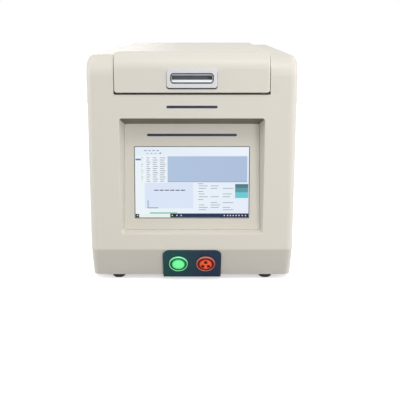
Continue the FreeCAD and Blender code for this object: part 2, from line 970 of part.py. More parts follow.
def hinge_body_leaf(centre):
    plate_y = hinge_y + hinge_gap
    top = hinge_z + leaf_top
    left = centre - hinge_half
    right = centre + hinge_half
    parts = [box(left, right, plate_y, plate_y + leaf_thick, hinge_z - leaf_height, top)]
    for x0, x1 in hinge_ends(centre):
        parts.append(rod(barrel_radius, vec(x0, hinge_y, hinge_z), vec(x1, hinge_y, hinge_z)))
        parts.append(box(x0, x1, hinge_y, plate_y, hinge_z - barrel_radius, top))
    leaf = fused(parts)
    return leaf.cut(rod(pin_radius, vec(left, hinge_y, hinge_z), vec(right, hinge_y, hinge_z)))


def hinge_lid_leaf(centre):
    plate_y = hinge_y - hinge_gap
    x0 = centre - hinge_half + knuckle_end + knuckle_gap
    x1 = centre + hinge_half - knuckle_end - knuckle_gap
    left = centre - hinge_half
    right = centre + hinge_half
    parts = [
        box(left, right, plate_y - leaf_thick, plate_y, lid_under_z, hinge_z + lid_leaf_top),
        rod(barrel_radius, vec(x0, hinge_y, hinge_z), vec(x1, hinge_y, hinge_z)),
        box(x0, x1, plate_y, hinge_y, hinge_z - barrel_radius, hinge_z + barrel_radius),
    ]
    start = vec(x0 - 1.0, hinge_y, hinge_z)
    return fused(parts).cut(rod(pin_radius + running_gap, start, vec(x1 + 1.0, hinge_y, hinge_z)))


def hinge_pin(centre):
    start = vec(centre - hinge_half, hinge_y, hinge_z)
    return rod(pin_radius, start, vec(centre + hinge_half, hinge_y, hinge_z))


# Display
def display_opening(grow, front, back, corner):
    return plate(display_half_x + grow, display_half_z + grow, display_z, front, back, corner)


def display_panel():
    solid = recess_block(-panel_gap, front_y).common(panel_slab(panel_front_y, recess_floor_y))
    window = display_opening(0.0, panel_front_y - 1.0, recess_floor_y + 1.0, display_corner)
    return solid.cut(on_panel(window))


def display_glass():
    back = recess_floor_y + glass_thick
    return on_panel(display_opening(glass_rim - seat_gap, recess_floor_y, back, glass_corner))


def display_module():
    return on_panel(display_opening(module_rim, recess_rear_y, recess_rear_y + module_thick, display_corner))


def bracket_places():
    x = display_half_x + post_rim_x
    z = display_half_z - post_inset_z
    return [(sx * x, display_z + sz * z) for sx in (-1, 1) for sz in (-1, 1)]


def display_bracket():
    front = recess_rear_y + module_thick
    back = front + bracket_sheet
    half_x = display_half_x + bracket_rim_x
    half_z = display_half_z - bracket_inset_z
    parts = [plate(half_x, half_z, display_z, front, back, post_radius)]
    for x, z in bracket_places():
        parts.append(rod(post_radius, vec(x, recess_rear_y, z), vec(x, back, z)))
    bracket = fused(parts)
    open_x = half_x - bracket_web
    open_z = half_z - bracket_web / 2
    bracket = bracket.cut(plate(open_x, open_z, display_z, front - 1.0, back + 1.0, cup_corner))
    bracket = fused([bracket] + bracket_rails(front, back, half_z))
    for x, z in bracket_places():
        bracket = bracket.cut(rod(small_shank, vec(x, recess_rear_y - 1.0, z), vec(x, back + 1.0, z)))
    return on_panel(bracket)


def bracket_rails(front, back, half_z):
    x = computer_places()[-1][0]
    low = display_z - half_z + bracket_sheet
    high = display_z + half_z - bracket_sheet
    return [box(place - rail_half, place + rail_half, front, back, low, high) for place in (-x, x)]


def board_half():
    return display_half_x - board_inset_x, display_half_z - board_inset_z


def computer_places():
    half_x, half_z = board_half()
    x = half_x - standoff_inset
    z = half_z - standoff_inset
    return [(sx * x, display_z + sz * z) for sx in (-1, 1) for sz in (-1, 1)]


def computer_board():
    half_x, half_z = board_half()
    front = recess_rear_y + module_thick + bracket_sheet + standoff_length
    back = front + board_thick
    base = back + sink_base
    parts = [box(-half_x, half_x, front, back, display_z - half_z, display_z + half_z)]
    parts.append(box(-sink_half_x, sink_half_x, back, base, display_z - sink_half_z, display_z + sink_half_z))
    pitch = (2 * sink_half_x - fin_thick) / (fin_count - 1)
    for fin in range(fin_count):
        x = -sink_half_x + pitch * fin
        fin_back = base + fin_height
        parts.append(box(x, x + fin_thick, base, fin_back, display_z - sink_half_z, display_z + sink_half_z))
    for row in (-1, 0, 1):
        z = display_z + row * socket_pitch * half_z
        x0 = half_x - socket_far
        x1 = half_x - socket_near
        parts.append(box(x0, x1, back, back + socket_tall, z - socket_half, z + socket_half))
    strip_half = half_z - strip_inset
    strip_far = half_x - socket_near - strip_width
    parts.append(box(-half_x + socket_near, -strip_far, back, back + strip_tall,
                     display_z - strip_half, display_z + strip_half))
    return on_panel(fused(parts))


# Buttons
def button_plate():
    points = [
        vec(-plate_half_x, plate_bottom, 0),
        vec(plate_half_x, plate_bottom, 0),
        vec(plate_half_x, plate_top, 0),
        vec(-plate_half_x, plate_top, 0),
    ]
    face = Part.Face(rounded_wire(points, [plate_foot_corner, plate_foot_corner, plate_corner, plate_corner]))
    solid = face.extrude(vec(0, 0, plate_thick))
    edges = [e for e in solid.Edges if abs(e.CenterOfMass.z - plate_thick) < 0.01]
    solid = solid.makeFillet(plate_round, edges)
    for side in (-1, 1):
        x = side * button_x
        solid = solid.cut(rod(neck_radius, vec(x, 0, -1), vec(x, 0, plate_thick + 1)))
    return on_chamfer(solid)


def button_bezel(x):
    top = plate_thick + bezel_height
    rim = rod(bezel_radius, vec(x, 0, plate_thick), vec(x, 0, top))
    edges = [e for e in rim.Edges if abs(e.CenterOfMass.z - top) < 0.01]
    rim = rim.makeFillet(bezel_round, [edges[0]])
    neck = rod(neck_radius, vec(x, 0, -neck_length), vec(x, 0, plate_thick))
    solid = fused([rim, neck])
    solid = solid.cut(rod(cap_radius + moving_gap, vec(x, 0, -neck_length - 1.0), vec(x, 0, top + 1.0)))
    return on_chamfer(solid)


def button_cap(x):
    cap = rod(cap_radius, vec(x, 0, cap_low), vec(x, 0, cap_top))
    edges = [e for e in cap.Edges if abs(e.CenterOfMass.z - cap_top) < 0.01]
    cap = cap.makeFillet(plate_round, [edges[0]])
    stem = rod(stem_radius, vec(x, 0, cap_low - stem_length), vec(x, 0, cap_low + 0.5))
    return on_chamfer(fused([cap, stem]))


def button_switch(x):
    body = rod(switch_radius, vec(x, 0, -switch_depth), vec(x, 0, -wall))
    nut = rod(nut_radius, vec(x, 0, -wall - nut_height), vec(x, 0, -wall))
    solid = fused([body, nut])
    solid = solid.cut(rod(neck_radius, vec(x, 0, -neck_length), vec(x, 0, -wall)))
    solid = solid.cut(rod(stem_radius + moving_gap, vec(x, 0, -bore_depth), vec(x, 0, -neck_length)))
    return on_chamfer(solid)


# X-ray optics under the deck
def tilted(shape):
    moved = shape.copy()
    moved.rotate(vec(0, sample_y, beam_z), vec(0, 1, 0), -detector_angle)
    return moved


def beam_rod(radius, near, far):
    return rod(radius, vec(0, sample_y, beam_z - near), vec(0, sample_y, beam_z - far))


def upright(radius, x, low, high):
    return rod(radius, vec(x, sample_y, low), vec(x, sample_y, high))


def optics_block():
    front = sample_y - block_half
    back = sample_y + block_half
    low = deck_z - block_drop
    under = low - 10.0
    block = box(-block_left, block_right, front, back, low, deck_z)
    shoulder = box(-overall_width, overall_width, front - 1.0, back + 1.0, 0.0, beam_z - detector_near)
    block = block.cut(tilted(shoulder).common(box(0, overall_width, front - 1.0, back + 1.0, 0, deck_z)))
    block = block.cut(upright(beam_bore, 0, under, deck_z))
    block = block.cut(upright(snout_radius, 0, under, deck_z - tube_nose_drop))
    block = block.cut(upright(2 * window_bore, 0, deck_z - 5.0, deck_z))
    block = block.cut(tilted(beam_rod(detector_nose, 14.0, 80.0)))
    pocket_low = wheel_low_z - wheel_room
    pocket_high = wheel_low_z + wheel_thick + wheel_room
    block = block.cut(upright(wheel_radius + 2.0, wheel_x, pocket_low, pocket_high))
    return block.cut(upright(wheel_shaft + 1.0, wheel_x, under, wheel_low_z))


def foil_places():
    places = []
    for step in range(foil_count):
        angle = math.tau / foil_count * step
        places.append((wheel_x + foil_ring * math.cos(angle), sample_y + foil_ring * math.sin(angle)))
    return places


def filter_wheel():
    wheel = upright(wheel_radius, wheel_x, wheel_low_z, wheel_low_z + wheel_thick)
    shaft = upright(wheel_shaft, wheel_x, deck_z - wheel_shaft_drop, wheel_low_z + 0.5)
    wheel = fused([wheel, shaft])
    for x, y in foil_places():
        seat = vec(x, y, foil_z)
        wheel = wheel.cut(rod(foil_radius, seat, vec(x, y, wheel_low_z + wheel_thick)))
        wheel = wheel.cut(rod(beam_bore, vec(x, y, wheel_low_z), seat))
    return wheel


def filter_foils():
    top = foil_z + foil_thick
    return group([rod(foil_radius, vec(x, y, foil_z), vec(x, y, top)) for x, y in foil_places()[1:]])


def filter_motor():
    top = deck_z - block_drop
    body = upright(motor_radius, wheel_x, deck_z - motor_low_drop, top)
    return body.cut(upright(wheel_shaft + running_gap, wheel_x, deck_z - motor_bore_drop, top))


def xray_tube():
    snout = upright(snout_radius, 0, tube_neck_z - 1.0, deck_z - tube_nose_drop)
    body = upright(tube_radius, 0, tube_low_z, tube_neck_z)
    return fused([snout, body])


def tube_shield():
    outside = upright(shield_radius, 0, shield_low_z, shield_high_z)
    shell = outside.cut(upright(tube_radius, 0, tube_low_z, tube_neck_z))
    shell = shell.cut(upright(snout_radius, 0, tube_low_z, shield_high_z))
    gland_end = sample_y + shield_radius + gland_length
    gland = rod(gland_radius, vec(0, sample_y + tube_radius, gland_z), vec(0, gland_end, gland_z))
    return fused([shell, gland.cut(outside)])


def tube_cradle():
    front = sample_y - cradle_half_y
    back = sample_y + cradle_half_y
    under = shield_low_z - cradle_sheet
    foot_top = tray_top_z + cradle_sheet
    parts = [box(-cradle_half_x, cradle_half_x, front, back, under, shield_low_z)]
    for side in (-1, 1):
        inner = side * (cradle_half_x - cradle_sheet)
        outer = side * cradle_half_x
        end = inner + side * cradle_foot
        parts.append(box(min(inner, outer), max(inner, outer), front, back, tray_top_z, under + 0.5))
        parts.append(box(min(inner, end), max(inner, end), front, back, tray_top_z, foot_top))
    cradle = fused(parts)
    reach = cradle_half_x + cradle_foot
    height = under - tray_top_z
    for share in (1 / 3, 2 / 3):
        z = tray_top_z + share * height
        hole = rod(cradle_hole_share * height, vec(-reach, sample_y, z), vec(reach, sample_y, z))
        cradle = cradle.cut(hole)
    return cradle


def detector():
    parts = [
        beam_rod(detector_nose, detector_near / 2, detector_near + 1.0),
        beam_rod(detector_radius, detector_near, detector_far),
        beam_rod(detector_finger, detector_far - 1.0, detector_end),
    ]
    for fin in range(detector_fins):
        start = detector_far + 1.0 + fin_pitch * fin
        parts.append(beam_rod(detector_fin, start, start + fin_thick))
    return tilted(fused(parts))


# High voltage lead from the generator to the tube
def lead_wire(points):
    edges = []
    last = points[0]
    for i in range(1, len(points) - 1):
        before = points[i - 1] - points[i]
        after = points[i + 1] - points[i]
        half_turn = (math.pi - before.getAngle(after)) / 2
        reach = 0.45 * min(before.Length, after.Length)
        radius = reach / math.tan(half_turn)
        print("lead bend radius", round(radius, 1))
        to_last = before.normalize()
        to_next = after.normalize()
        start = points[i] + to_last * reach
        end = points[i] + to_next * reach
        bisector = (to_last + to_next).normalize()
        middle = points[i] + bisector * (radius / math.cos(half_turn) - radius)
        edges.append(Part.LineSegment(last, start).toShape())
        edges.append(Part.Arc(start, middle, end).toShape())
        last = end
    edges.append(Part.LineSegment(last, points[-1]).toShape())
    return Part.Wire(edges)


def hv_cable():
    start = sample_y + shield_radius + gland_length
    end = supply_front_y - hv_gland_length
    run = end - start
    points = [
        vec(0, start, gland_z),
        vec(0, start + lead_start_share * run, gland_z),
        vec(hv_gland_x, start + lead_end_share * run, hv_gland_z),
        vec(hv_gland_x, end, hv_gland_z),
    ]
    spine = lead_wire(points)
    ring = Part.Wire(Part.makeCircle(lead_radius, points[0], vec(0, 1, 0)))
    lead = spine.makePipeShell([ring], True, False)
    print("high voltage lead length", round(spine.Length, 1))
    return lead


def hv_supply():
    front = supply_front_y
    top = tray_top_z + hv_height
    case = box(-frame_x + frame_flange, hv_right, front, front + hv_length, tray_top_z, top)
    edges = [e for e in case.Edges if e.CenterOfMass.z > top - 0.1]
    case = case.makeFillet(2.0, edges)
    end = vec(hv_gland_x, front + 1.0, hv_gland_z)
    gland = rod(gland_radius, vec(hv_gland_x, front - hv_gland_length, hv_gland_z), end)
    return fused([case, gland])


def power_supply():
    rear = rear_panel_y - power_rear_gap
    front = rear - power_length
    right = frame_x - power_gap
    top = tray_top_z + power_height
    case = box(power_left, right, front, rear, tray_top_z, top)
    slots = []
    for row in range(vent_count):
        y = front + slot_pitch * (row + 0.5)
        slots.append(box(power_left + power_rim, right - power_rim, y, y + slot_width, top - 3.0, top))
    return case.cut(group(slots))


def processor_edges():
    first = sample_y + processor_back
    return first, first + processor_length, processor_low_z, processor_low_z + processor_height


def board_places():
    first, last, low, high = processor_edges()
    inset = processor_inset
    return [(y, z) for y in (first + inset, last - inset) for z in (low + inset, high - inset)]


def processor_board():
    first, last, low, high = processor_edges()
    face = processor_x - board_thick
    parts = [box(face, processor_x, first, last, low, high)]
    for start, end, foot_share, top_share in chip_shares:
        y0 = first + start * processor_length
        y1 = first + end * processor_length
        z0 = low + foot_share * processor_height
        parts.append(box(face - chip_tall, face, y0, y1, z0, low + top_share * processor_height))
    pitch = processor_height / plug_count
    for row in range(plug_count):
        z = low + pitch * (row + 0.5)
        parts.append(box(face - plug_tall, face, first + 4.0, first + 16.0, z - plug_half, z + plug_half))
    return fused(parts)


def board_standoffs():
    start = recess_rear_y + module_thick + bracket_sheet
    shapes = []
    for x, z in computer_places():
        shapes.append(on_panel(rod(standoff_radius, vec(x, start, z), vec(x, start + standoff_length, z))))
    shapes += [rod(standoff_radius, vec(processor_x, y, z), vec(frame_x, y, z)) for y, z in board_places()]
    return group(shapes)


# Rear wall
def rear_screw_places():
    x = half_width - rear_screw_inset
    high = shoulder_z - rear_screw_drop
    return [(sx * x, z) for sx in (-1, 1) for z in (rear_screw_low, (rear_screw_low + high) / 2, high)]


def port_box():
    front = rear_panel_y - port_depth
    low = port_z - port_half_z
    return box(port_x - port_half_x, port_x + port_half_x, front, rear_panel_y, low, port_z + port_half_z)


def fan_corners():
    return [(fan_x + sx * fan_hole_pitch, fan_z + sz * fan_hole_pitch) for sx in (-1, 1) for sz in (-1, 1)]


def rear_panel(cavity):
    front = rear_panel_y - rear_panel_thick
    slab = box(-overall_width, overall_width, front, rear_panel_y, base_z, overall_height)
    panel = cavity.common(slab)
    panel = panel.cut(rod(fan_bore, vec(fan_x, front - 1.0, fan_z), vec(fan_x, rear_y, fan_z)))
    for x, z in fan_corners():
        panel = panel.cut(rod(large_shank, vec(x, front - 1.0, z), vec(x, rear_y, z)))
    for x, z in rear_screw_places():
        panel = panel.cut(rod(large_shank, vec(x, front - 1.0, z), vec(x, rear_y, z)))
    panel = panel.cut(inlet_body(front - 1.0, rear_y))
    panel = panel.cut(port_box())
    return panel.cut(rod(stud_radius, vec(stud_x, front - 1.0, stud_z), vec(stud_x, rear_y, stud_z)))


def rear_lugs():
    shapes = []
    back = rear_panel_y - rear_panel_thick
    for x, z in rear_screw_places():
        side = 1.0 if x > 0 else -1.0
        x0 = side * (inner_half - lug_reach)
        x1 = side * (inner_half + 1.0)
        front = back - lug_depth
        lug = box(min(x0, x1), max(x0, x1), front, back, z - lug_half, z + lug_half)
        shapes.append(lug.cut(rod(large_shank, vec(x, front, z), vec(x, back, z))))
    return shapes


def casing_screws():
    seats = [((x, y, foot_seat), (0, 0, 1)) for x, y in foot_places()]
    seats += [((side * half_width, y, cover_screw_z), (-side, 0, 0)) for side, y in cover_screw_places()]
    seats += [((x, rear_panel_y, z), (0, -1, 0)) for x, z in rear_screw_places()]
    seats += [((x, rear_panel_y + 2.0, z), (0, -1, 0)) for x, z in fan_corners()]
    return group([screw(large_shank, large_head, large_head_height, seat, along, large_length)
                  for seat, along in seats])


def fan_frame():
    back = rear_panel_y - rear_panel_thick
    front = back - fan_depth
    body = plate(fan_half, fan_half, fan_z, front, back, 6.0, fan_x)
    body = body.cut(rod(fan_bore, vec(fan_x, front - 1.0, fan_z), vec(fan_x, back + 1.0, fan_z)))
    hub = rod(fan_hub, vec(fan_x, front, fan_z), vec(fan_x, front + spoke_thick, fan_z))
    spokes = []
    for step in range(4):
        angle = math.radians(45.0 + 90.0 * step)
        arm = box(-2.0, 2.0, front, front + spoke_thick, 0.0, fan_bore + 1.0)
        arm.rotate(vec(0, 0, 0), vec(0, 1, 0), math.degrees(angle))
        arm.translate(vec(fan_x, 0, fan_z))
        spokes.append(arm)
    post = rod(2.0, vec(fan_x, front + 1.0, fan_z), vec(fan_x, front + 15.0, fan_z))
    body = fused([body, hub, post] + spokes)
    for x, z in fan_corners():
        body = body.cut(rod(large_shank, vec(x, front - 1.0, z), vec(x, back + 1.0, z)))
    return body


def fan_rotor():
    front = rear_panel_y - rear_panel_thick - fan_depth + 4.0
    back = front + hub_depth
    hub = rod(fan_hub, vec(0, front, 0), vec(0, back, 0))
    edges = [e for e in hub.Edges if abs(e.CenterOfMass.y - back) < 0.01]
    hub = hub.makeFillet(2.0, [edges[0]])
    blades = []
    for step in range(fan_blades):
        blade = box(-1.0, 1.0, front + 1.0, back - 1.0, fan_hub - 2.0, fan_bore - 1.5)
        blade.rotate(vec(0, (front + back) / 2, 0), vec(0, 0, 1), blade_pitch)
        blade.rotate(vec(0, 0, 0), vec(0, 1, 0), 360.0 / fan_blades * step)
        blades.append(blade)
    rotor = fused([hub] + blades)
    rotor = rotor.cut(rod(2.0 + running_gap, vec(0, front - 1.0, 0), vec(0, front + 12.0, 0)))
    rotor.translate(vec(fan_x, 0, fan_z))
    return rotor


def fan_guard():
    ring_y = overall_depth / 2 - guard_wire
    spoke_y = rear_panel_y + guard_wire
    parts = []
    for step in range(guard_rings):
        radius = guard_first + guard_pitch * step
        parts.append(Part.makeTorus(radius, guard_wire, vec(fan_x, ring_y, fan_z), vec(0, 1, 0)))
    reach = fan_hole_pitch * math.sqrt(2)
    for step in range(4):
        angle = math.radians(45.0 + 90.0 * step)
        out = vec(math.cos(angle), 0, math.sin(angle))
        middle = vec(fan_x, spoke_y + 0.6, fan_z)
        parts.append(rod(guard_wire, middle + out * (guard_first - 1.0), middle + out * (reach - 5.0)))
    for x, z in fan_corners():
        eye = tube(5.5, large_shank, vec(x, rear_panel_y, z), vec(x, rear_panel_y + 2.0, z))
        parts.append(eye)
    return fused(parts)


def inlet_body(front, back):
    return plate(inlet_body_half_x, inlet_body_half_z, inlet_z, front, back, 2.0, inlet_x)


def inlet_housing():
    front = rear_panel_y + flange_thick
    flange = plate(flange_half_x, flange_half_z, inlet_z, rear_panel_y, front, wall, inlet_x)
    solid = fused([flange, inlet_body(rear_panel_y - inlet_depth, rear_panel_y + 1.0)])
    socket_y = rear_panel_y - socket_depth
    solid = solid.cut(plate(socket_half_x, socket_half_z, socket_z, socket_y, front + 1.0, 3.0, inlet_x))
    half = fuse_half_x + moving_gap
    fuse_y = rear_panel_y - fuse_depth
    low = fuse_z - fuse_half_z - moving_gap
    high = fuse_z + fuse_half_z + moving_gap
    solid = solid.cut(box(inlet_x - half, inlet_x + half, fuse_y, front, low, high))
    half = rocker_half_x + moving_gap
    pocket_y = rear_panel_y - rocker_pocket
    low = rocker_z - rocker_pocket_half
    high = rocker_z + rocker_pocket_half
    solid = solid.cut(box(inlet_x - half, inlet_x + half, pocket_y, front, low, high))
    reach = rocker_half_x + rocker_pivot_reach + moving_gap
    start = vec(inlet_x - reach, rocker_y, rocker_z)
    return solid.cut(rod(rocker_pivot + running_gap, start, vec(inlet_x + reach, rocker_y, rocker_z)))


def inlet_pins():
    pins = []
    back = rear_panel_y - socket_depth
    for dx, dz in ((-7.0, -2.0), (7.0, -2.0), (0.0, 3.0)):
        x = inlet_x + dx
        z = socket_z + dz
        pins.append(box(x - 1.0, x + 1.0, back, rear_panel_y - 2.0, z - 2.5, z + 2.5))
    return group(pins)


def fuse_drawer():
    front = rear_panel_y + flange_thick
    back = rear_panel_y - fuse_depth + 1.0
    low = fuse_z - fuse_half_z
    high = fuse_z + fuse_half_z
    body = box(inlet_x - fuse_half_x, inlet_x + fuse_half_x, back, front, low, high)
    inner = fuse_half_x - 2.0
    body = body.cut(box(inlet_x - inner, inlet_x + inner, back + 3.0, front - 4.0, low + 1.5, high))
    lip_half = fuse_half_x - 4.0
    lip_end = overall_depth / 2 - 0.4
    lip = box(inlet_x - lip_half, inlet_x + lip_half, front - 0.5, lip_end, low, low + 2.5)
    return fused([body, lip])


def mains_rocker():
    outline = [(-5.0, -7.0), (5.6, -8.6), (6.8, 0.0), (5.6, 8.6), (-5.0, 7.0)]
    body = side_prism(outline, [1.0, 1.2, 0, 1.2, 1.0], -rocker_half_x, rocker_half_x)
    reach = rocker_half_x + rocker_pivot_reach
    body = fused([body, rod(rocker_pivot, vec(-reach, 0, 0), vec(reach, 0, 0))])
    body.rotate(vec(0, 0, 0), vec(1, 0, 0), -rocker_rest)
    body.translate(vec(inlet_x, rocker_y, rocker_z))
    return body


def port_block():
    half_x = port_half_x + port_rim
    half_z = port_half_z + port_rim
    face = plate(half_x, half_z, port_z, rear_panel_y, rear_panel_y + 1.0, 2.0, port_x)
    body = fused([port_box(), face])
    back = rear_panel_y - port_cavity
    front = rear_panel_y + 2.0
    left = port_x - 24.0
    for z in (port_z - 11.0, port_z + 4.0):
        body = body.cut(box(left, left + 13.0, back, front, z, z + 6.0))
    left = port_x + 4.0
    return body.cut(box(left, left + 16.0, back, front, port_z - 9.0, port_z + 5.0))


def earth_stud():
    end = vec(stud_x, overall_depth / 2 - 0.2, stud_z)
    stud = rod(stud_radius, vec(stud_x, rear_panel_y - 10.0, stud_z), end)
    corners = []
    for step in range(7):
        angle = math.radians(60 * step)
        x = stud_x + nut_reach * math.cos(angle)
        corners.append(vec(x, rear_panel_y, stud_z + nut_reach * math.sin(angle)))
    nut = Part.Face(Part.makePolygon(corners)).extrude(vec(0, nut_thick, 0))
    return fused([stud, nut])


def build_all():
    outer = casing(0.0, 0.0)
    cavity = casing(wall, cut_over)
    under_seam = casing(seam_groove, 0.0)
    skin = casing_skin(outer, cavity)
    groove = seam_cut(outer, under_seam)
    nodes = {
        "front_shell": front_shell(skin, groove),
        "main_cover": main_cover(skin, groove),
        "rear_panel": rear_panel(cavity),
        "casing_screws": casing_screws(),
        "base_tray": base_tray(cavity),
        "feet": group([foot(x, y) for x, y in foot_places()]),
        "side_frame_left": side_frame(-1),
        "side_frame_right": side_frame(1),
        "front_brackets": front_brackets(),
        "inner_screws": inner_screws(),
        "deck_plate": deck_plate(),
        "chamber_tray": chamber_tray(),
        "bay_cover": bay_cover(),
        "window_ring": window_ring(),
        "window_film": window_film(),
        "lid_shell": lid_shell(),
        "lid_liner": lid_liner(),
        "lid_seal": lid_seal(),
        "handle_plate": handle_plate(),
        "handle_cup": handle_cup(),
        "lid_stops": lid_stops(),
        "interlock_magnet": interlock_magnet(),
        "interlock_sensor": interlock_sensor(),
        "hinge_body_leaves": group([hinge_body_leaf(x) for x in (-hinge_x, hinge_x)]),
        "hinge_lid_leaves": group([hinge_lid_leaf(x) for x in (-hinge_x, hinge_x)]),
        "hinge_pins": group([hinge_pin(x) for x in (-hinge_x, hinge_x)]),
        "display_panel": display_panel(),
        "display_glass": display_glass(),
        "display_module": display_module(),
        "display_bracket": display_bracket(),
        "computer_board": computer_board(),
        "button_plate": button_plate(),
        "power_bezel": button_bezel(-button_x),
        "power_cap": button_cap(-button_x),
        "power_switch": button_switch(-button_x),
        "xray_bezel": button_bezel(button_x),
        "xray_cap": button_cap(button_x),
        "xray_switch": button_switch(button_x),
        "optics_block": optics_block(),
        "filter_wheel": filter_wheel(),
        "filter_foils": filter_foils(),
        "filter_motor": filter_motor(),
        "xray_tube": xray_tube(),
        "tube_shield": tube_shield(),
        "tube_cradle": tube_cradle(),
        "detector": detector(),
        "hv_cable": hv_cable(),
        "hv_supply": hv_supply(),
        "power_supply": power_supply(),
        "processor_board": processor_board(),
        "board_standoffs": board_standoffs(),
        "fan_frame": fan_frame(),
        "fan_rotor": fan_rotor(),
        "fan_guard": fan_guard(),
        "inlet_housing": inlet_housing(),
        "inlet_pins": inlet_pins(),
        "fuse_drawer": fuse_drawer(),
        "mains_rocker": mains_rocker(),
        "port_block": port_block(),
        "earth_stud": earth_stud(),
    }
    return nodes


os.makedirs("parts", exist_ok=True)
for name, shape in build_all().items():
    solids = shape.Solids
    if not solids or not all(solid.isValid() for solid in solids):
        print("check", name, len(solids), [solid.isValid() for solid in solids])
    shape.exportStep("parts/" + name + ".step")
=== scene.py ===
"""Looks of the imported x-ray fluorescence analyser, in the frame of its solids, metres."""
import math

import bmesh
import bpy
from bpy.props import FloatProperty, FloatVectorProperty, PointerProperty
from bpy.types import Operator, Panel, PropertyGroup
from mathutils import Matrix, Vector


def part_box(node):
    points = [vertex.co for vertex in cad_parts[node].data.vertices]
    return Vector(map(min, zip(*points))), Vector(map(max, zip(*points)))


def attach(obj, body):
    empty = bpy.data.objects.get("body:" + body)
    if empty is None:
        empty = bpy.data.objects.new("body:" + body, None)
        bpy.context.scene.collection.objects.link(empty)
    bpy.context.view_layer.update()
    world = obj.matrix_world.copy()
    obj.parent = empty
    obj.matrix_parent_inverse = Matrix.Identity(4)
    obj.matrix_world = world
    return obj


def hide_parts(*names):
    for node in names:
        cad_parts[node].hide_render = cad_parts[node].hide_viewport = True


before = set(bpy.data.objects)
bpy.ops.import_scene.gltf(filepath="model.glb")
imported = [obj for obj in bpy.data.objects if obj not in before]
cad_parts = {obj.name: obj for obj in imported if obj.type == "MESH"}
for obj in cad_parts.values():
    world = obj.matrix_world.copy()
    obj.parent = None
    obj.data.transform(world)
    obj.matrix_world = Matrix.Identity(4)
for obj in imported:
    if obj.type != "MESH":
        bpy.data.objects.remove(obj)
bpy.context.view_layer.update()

bl_info = {
    "name": "X-ray fluorescence analyser",
    "version": (1, 0, 0),
    "blender": (4, 5, 0),
    "location": "View3D > Sidebar > Analyser",
    "description": "Finishes and details of a bench-top x-ray fluorescence analyser",
    "category": "Object",
}

MM = 0.001
# Lengths below are in millimetres and angles in degrees.
# The recess panel and the display lean back about this line, given by its depth and height
PANEL_FOOT = (-248.0, 106.0)
PANEL_LEAN = 5.0
PANEL_FACE = -250.0
# Half width and half height of the lit area, and the height of its middle
DISPLAY_HALF = (112.0, 70.5)
DISPLAY_MIDDLE = 198.7
# How far the fronts and backs of the lit page, its blocks and its marks stand in front of the glass
PAGE_LIFT = 0.25
PAGE_BACK = 0.05
BLOCK_LIFT = 0.33
MARK_LIFT = 0.41
MARK_BACK = 0.2
SCREEN_STRENGTH = 0.94
# Half width, and height on the casing, of the accent bars
UPPER_ACCENT = (48.0, 348.8)
LOWER_ACCENT = (87.0, 291.3)
# Side view of the shoulders beside the lid
SHOULDER_FRONT = -268.0
SHOULDER_TOP = 444.0
SHOULDER_ROUND = 38.0
SHOULDER_RUN = 462.0
# Heights between which the recess ceiling gets its painted shade, and the depth behind which the cup's rear
# wall gets its painted shade
RECESS_SHADE_HEIGHTS = (300.0, 345.0)
CUP_REAR = -262.5
# How far the handle plate stands in front of the lid
HANDLE_PROUD = 7.0
# The sloping plate: depth and height of its middle, its upward direction, and the buttons to either side
PLATE_MIDDLE = (-254.0, 40.0)
PLATE_UPWARD = (0, -0.422885, 0.906183)
BUTTON_SIDE = 27.0
# Places across the plate between which its first tone, with the power button's glow painted in, turns into
# its second
PLATE_GLOW_FADE = (-35.0, 30.0)


def linear(code):
    """Turn an sRGB hex colour into linear red, green and blue."""
    channels = [int(code[i:i + 2], 16) / 255 for i in (0, 2, 4)]
    return tuple(c / 12.92 if c <= 0.04045 else ((c + 0.055) / 1.055) ** 2.4 for c in channels)


def colour(label, about, code):
    """A colour that a user can change."""
    return FloatVectorProperty(name=label, description=about, subtype="COLOR", size=3, min=0.0, max=1.0,
                               default=linear(code))


def length(label, about, millimetres):
    """A length that a user can change."""
    return FloatProperty(name=label, description=about, subtype="DISTANCE", unit="LENGTH", min=0.0,
                         default=millimetres * MM)


class AnalyserColours(PropertyGroup):
    """Main colours of the analyser."""

    casing: colour("Casing", "Cream paint of the casing and lid", "DDD8CD")
    overlay: colour("Overlay", "Satin overlay round the display", "D5D0C5")
    coated: colour("Coated sheet", "Textured coating of the rear wall and base", "C9C4B9")
    # The plate's default colour is teal: blue-black with the power button's glow painted in
    plate: colour("Button plate", "Blue-black plate that carries the buttons", "0E4446")
    power: colour("Power light", "Light of the power button", "6CF596")
    x_ray: colour("X-ray light", "Light of the x-ray button", "E84A16")
    accent: colour("Accent", "Printed accent bars", "10163A")
    handle: colour("Handle", "Satin handle plate", "CACCCE")


class AnalyserSizes(PropertyGroup):
    """Sizes of the details that are added to the solids."""

    accent_height: length("Accent height", "Height of the printed accent bars", 5.0)
    # The dark line round the display is partly a painted shadow of the window's edge
    shadow_gasket: length("Display gasket", "Width of the dark line round the display", 1.3)
    slot_trim: length("Slot trim", "Width of the dark trim round the handle slot", 1.8)
    mark: length("Mark thickness", "Thickness of printed or raised marks", 0.2)
    lens_rise: length("Lens rise", "Height of the domed button lenses", 1.6)


# Working with objects
def deselect():
    if bpy.context.object and bpy.context.object.mode != "OBJECT":
        bpy.ops.object.mode_set(mode="OBJECT")
    bpy.ops.object.select_all(action="DESELECT")


def activate(piece):
    deselect()
    piece.select_set(True)
    bpy.context.view_layer.objects.active = piece


def edit(piece):
    activate(piece)
    bpy.ops.object.mode_set(mode="EDIT")
    bpy.ops.mesh.select_all(action="SELECT")


def leave_edit():
    bpy.ops.object.mode_set(mode="OBJECT")


def named(name):
    piece = bpy.context.active_object
    piece.name = name
    piece.data.name = name
    return piece


def apply_place(piece, place=None):
    if place is not None:
        piece.matrix_world = place @ piece.matrix_world
    activate(piece)
    bpy.ops.object.transform_apply(location=True, rotation=True, scale=True)


def modify(piece, kind, **settings):
    activate(piece)
    step = piece.modifiers.new(kind.title(), kind)
    for key, value in settings.items():
        setattr(step, key, value)
    bpy.ops.object.modifier_apply(modifier=step.name)


def smooth(piece, degrees=35.0):
    activate(piece)
    bpy.ops.object.shade_smooth_by_angle(angle=math.radians(degrees))


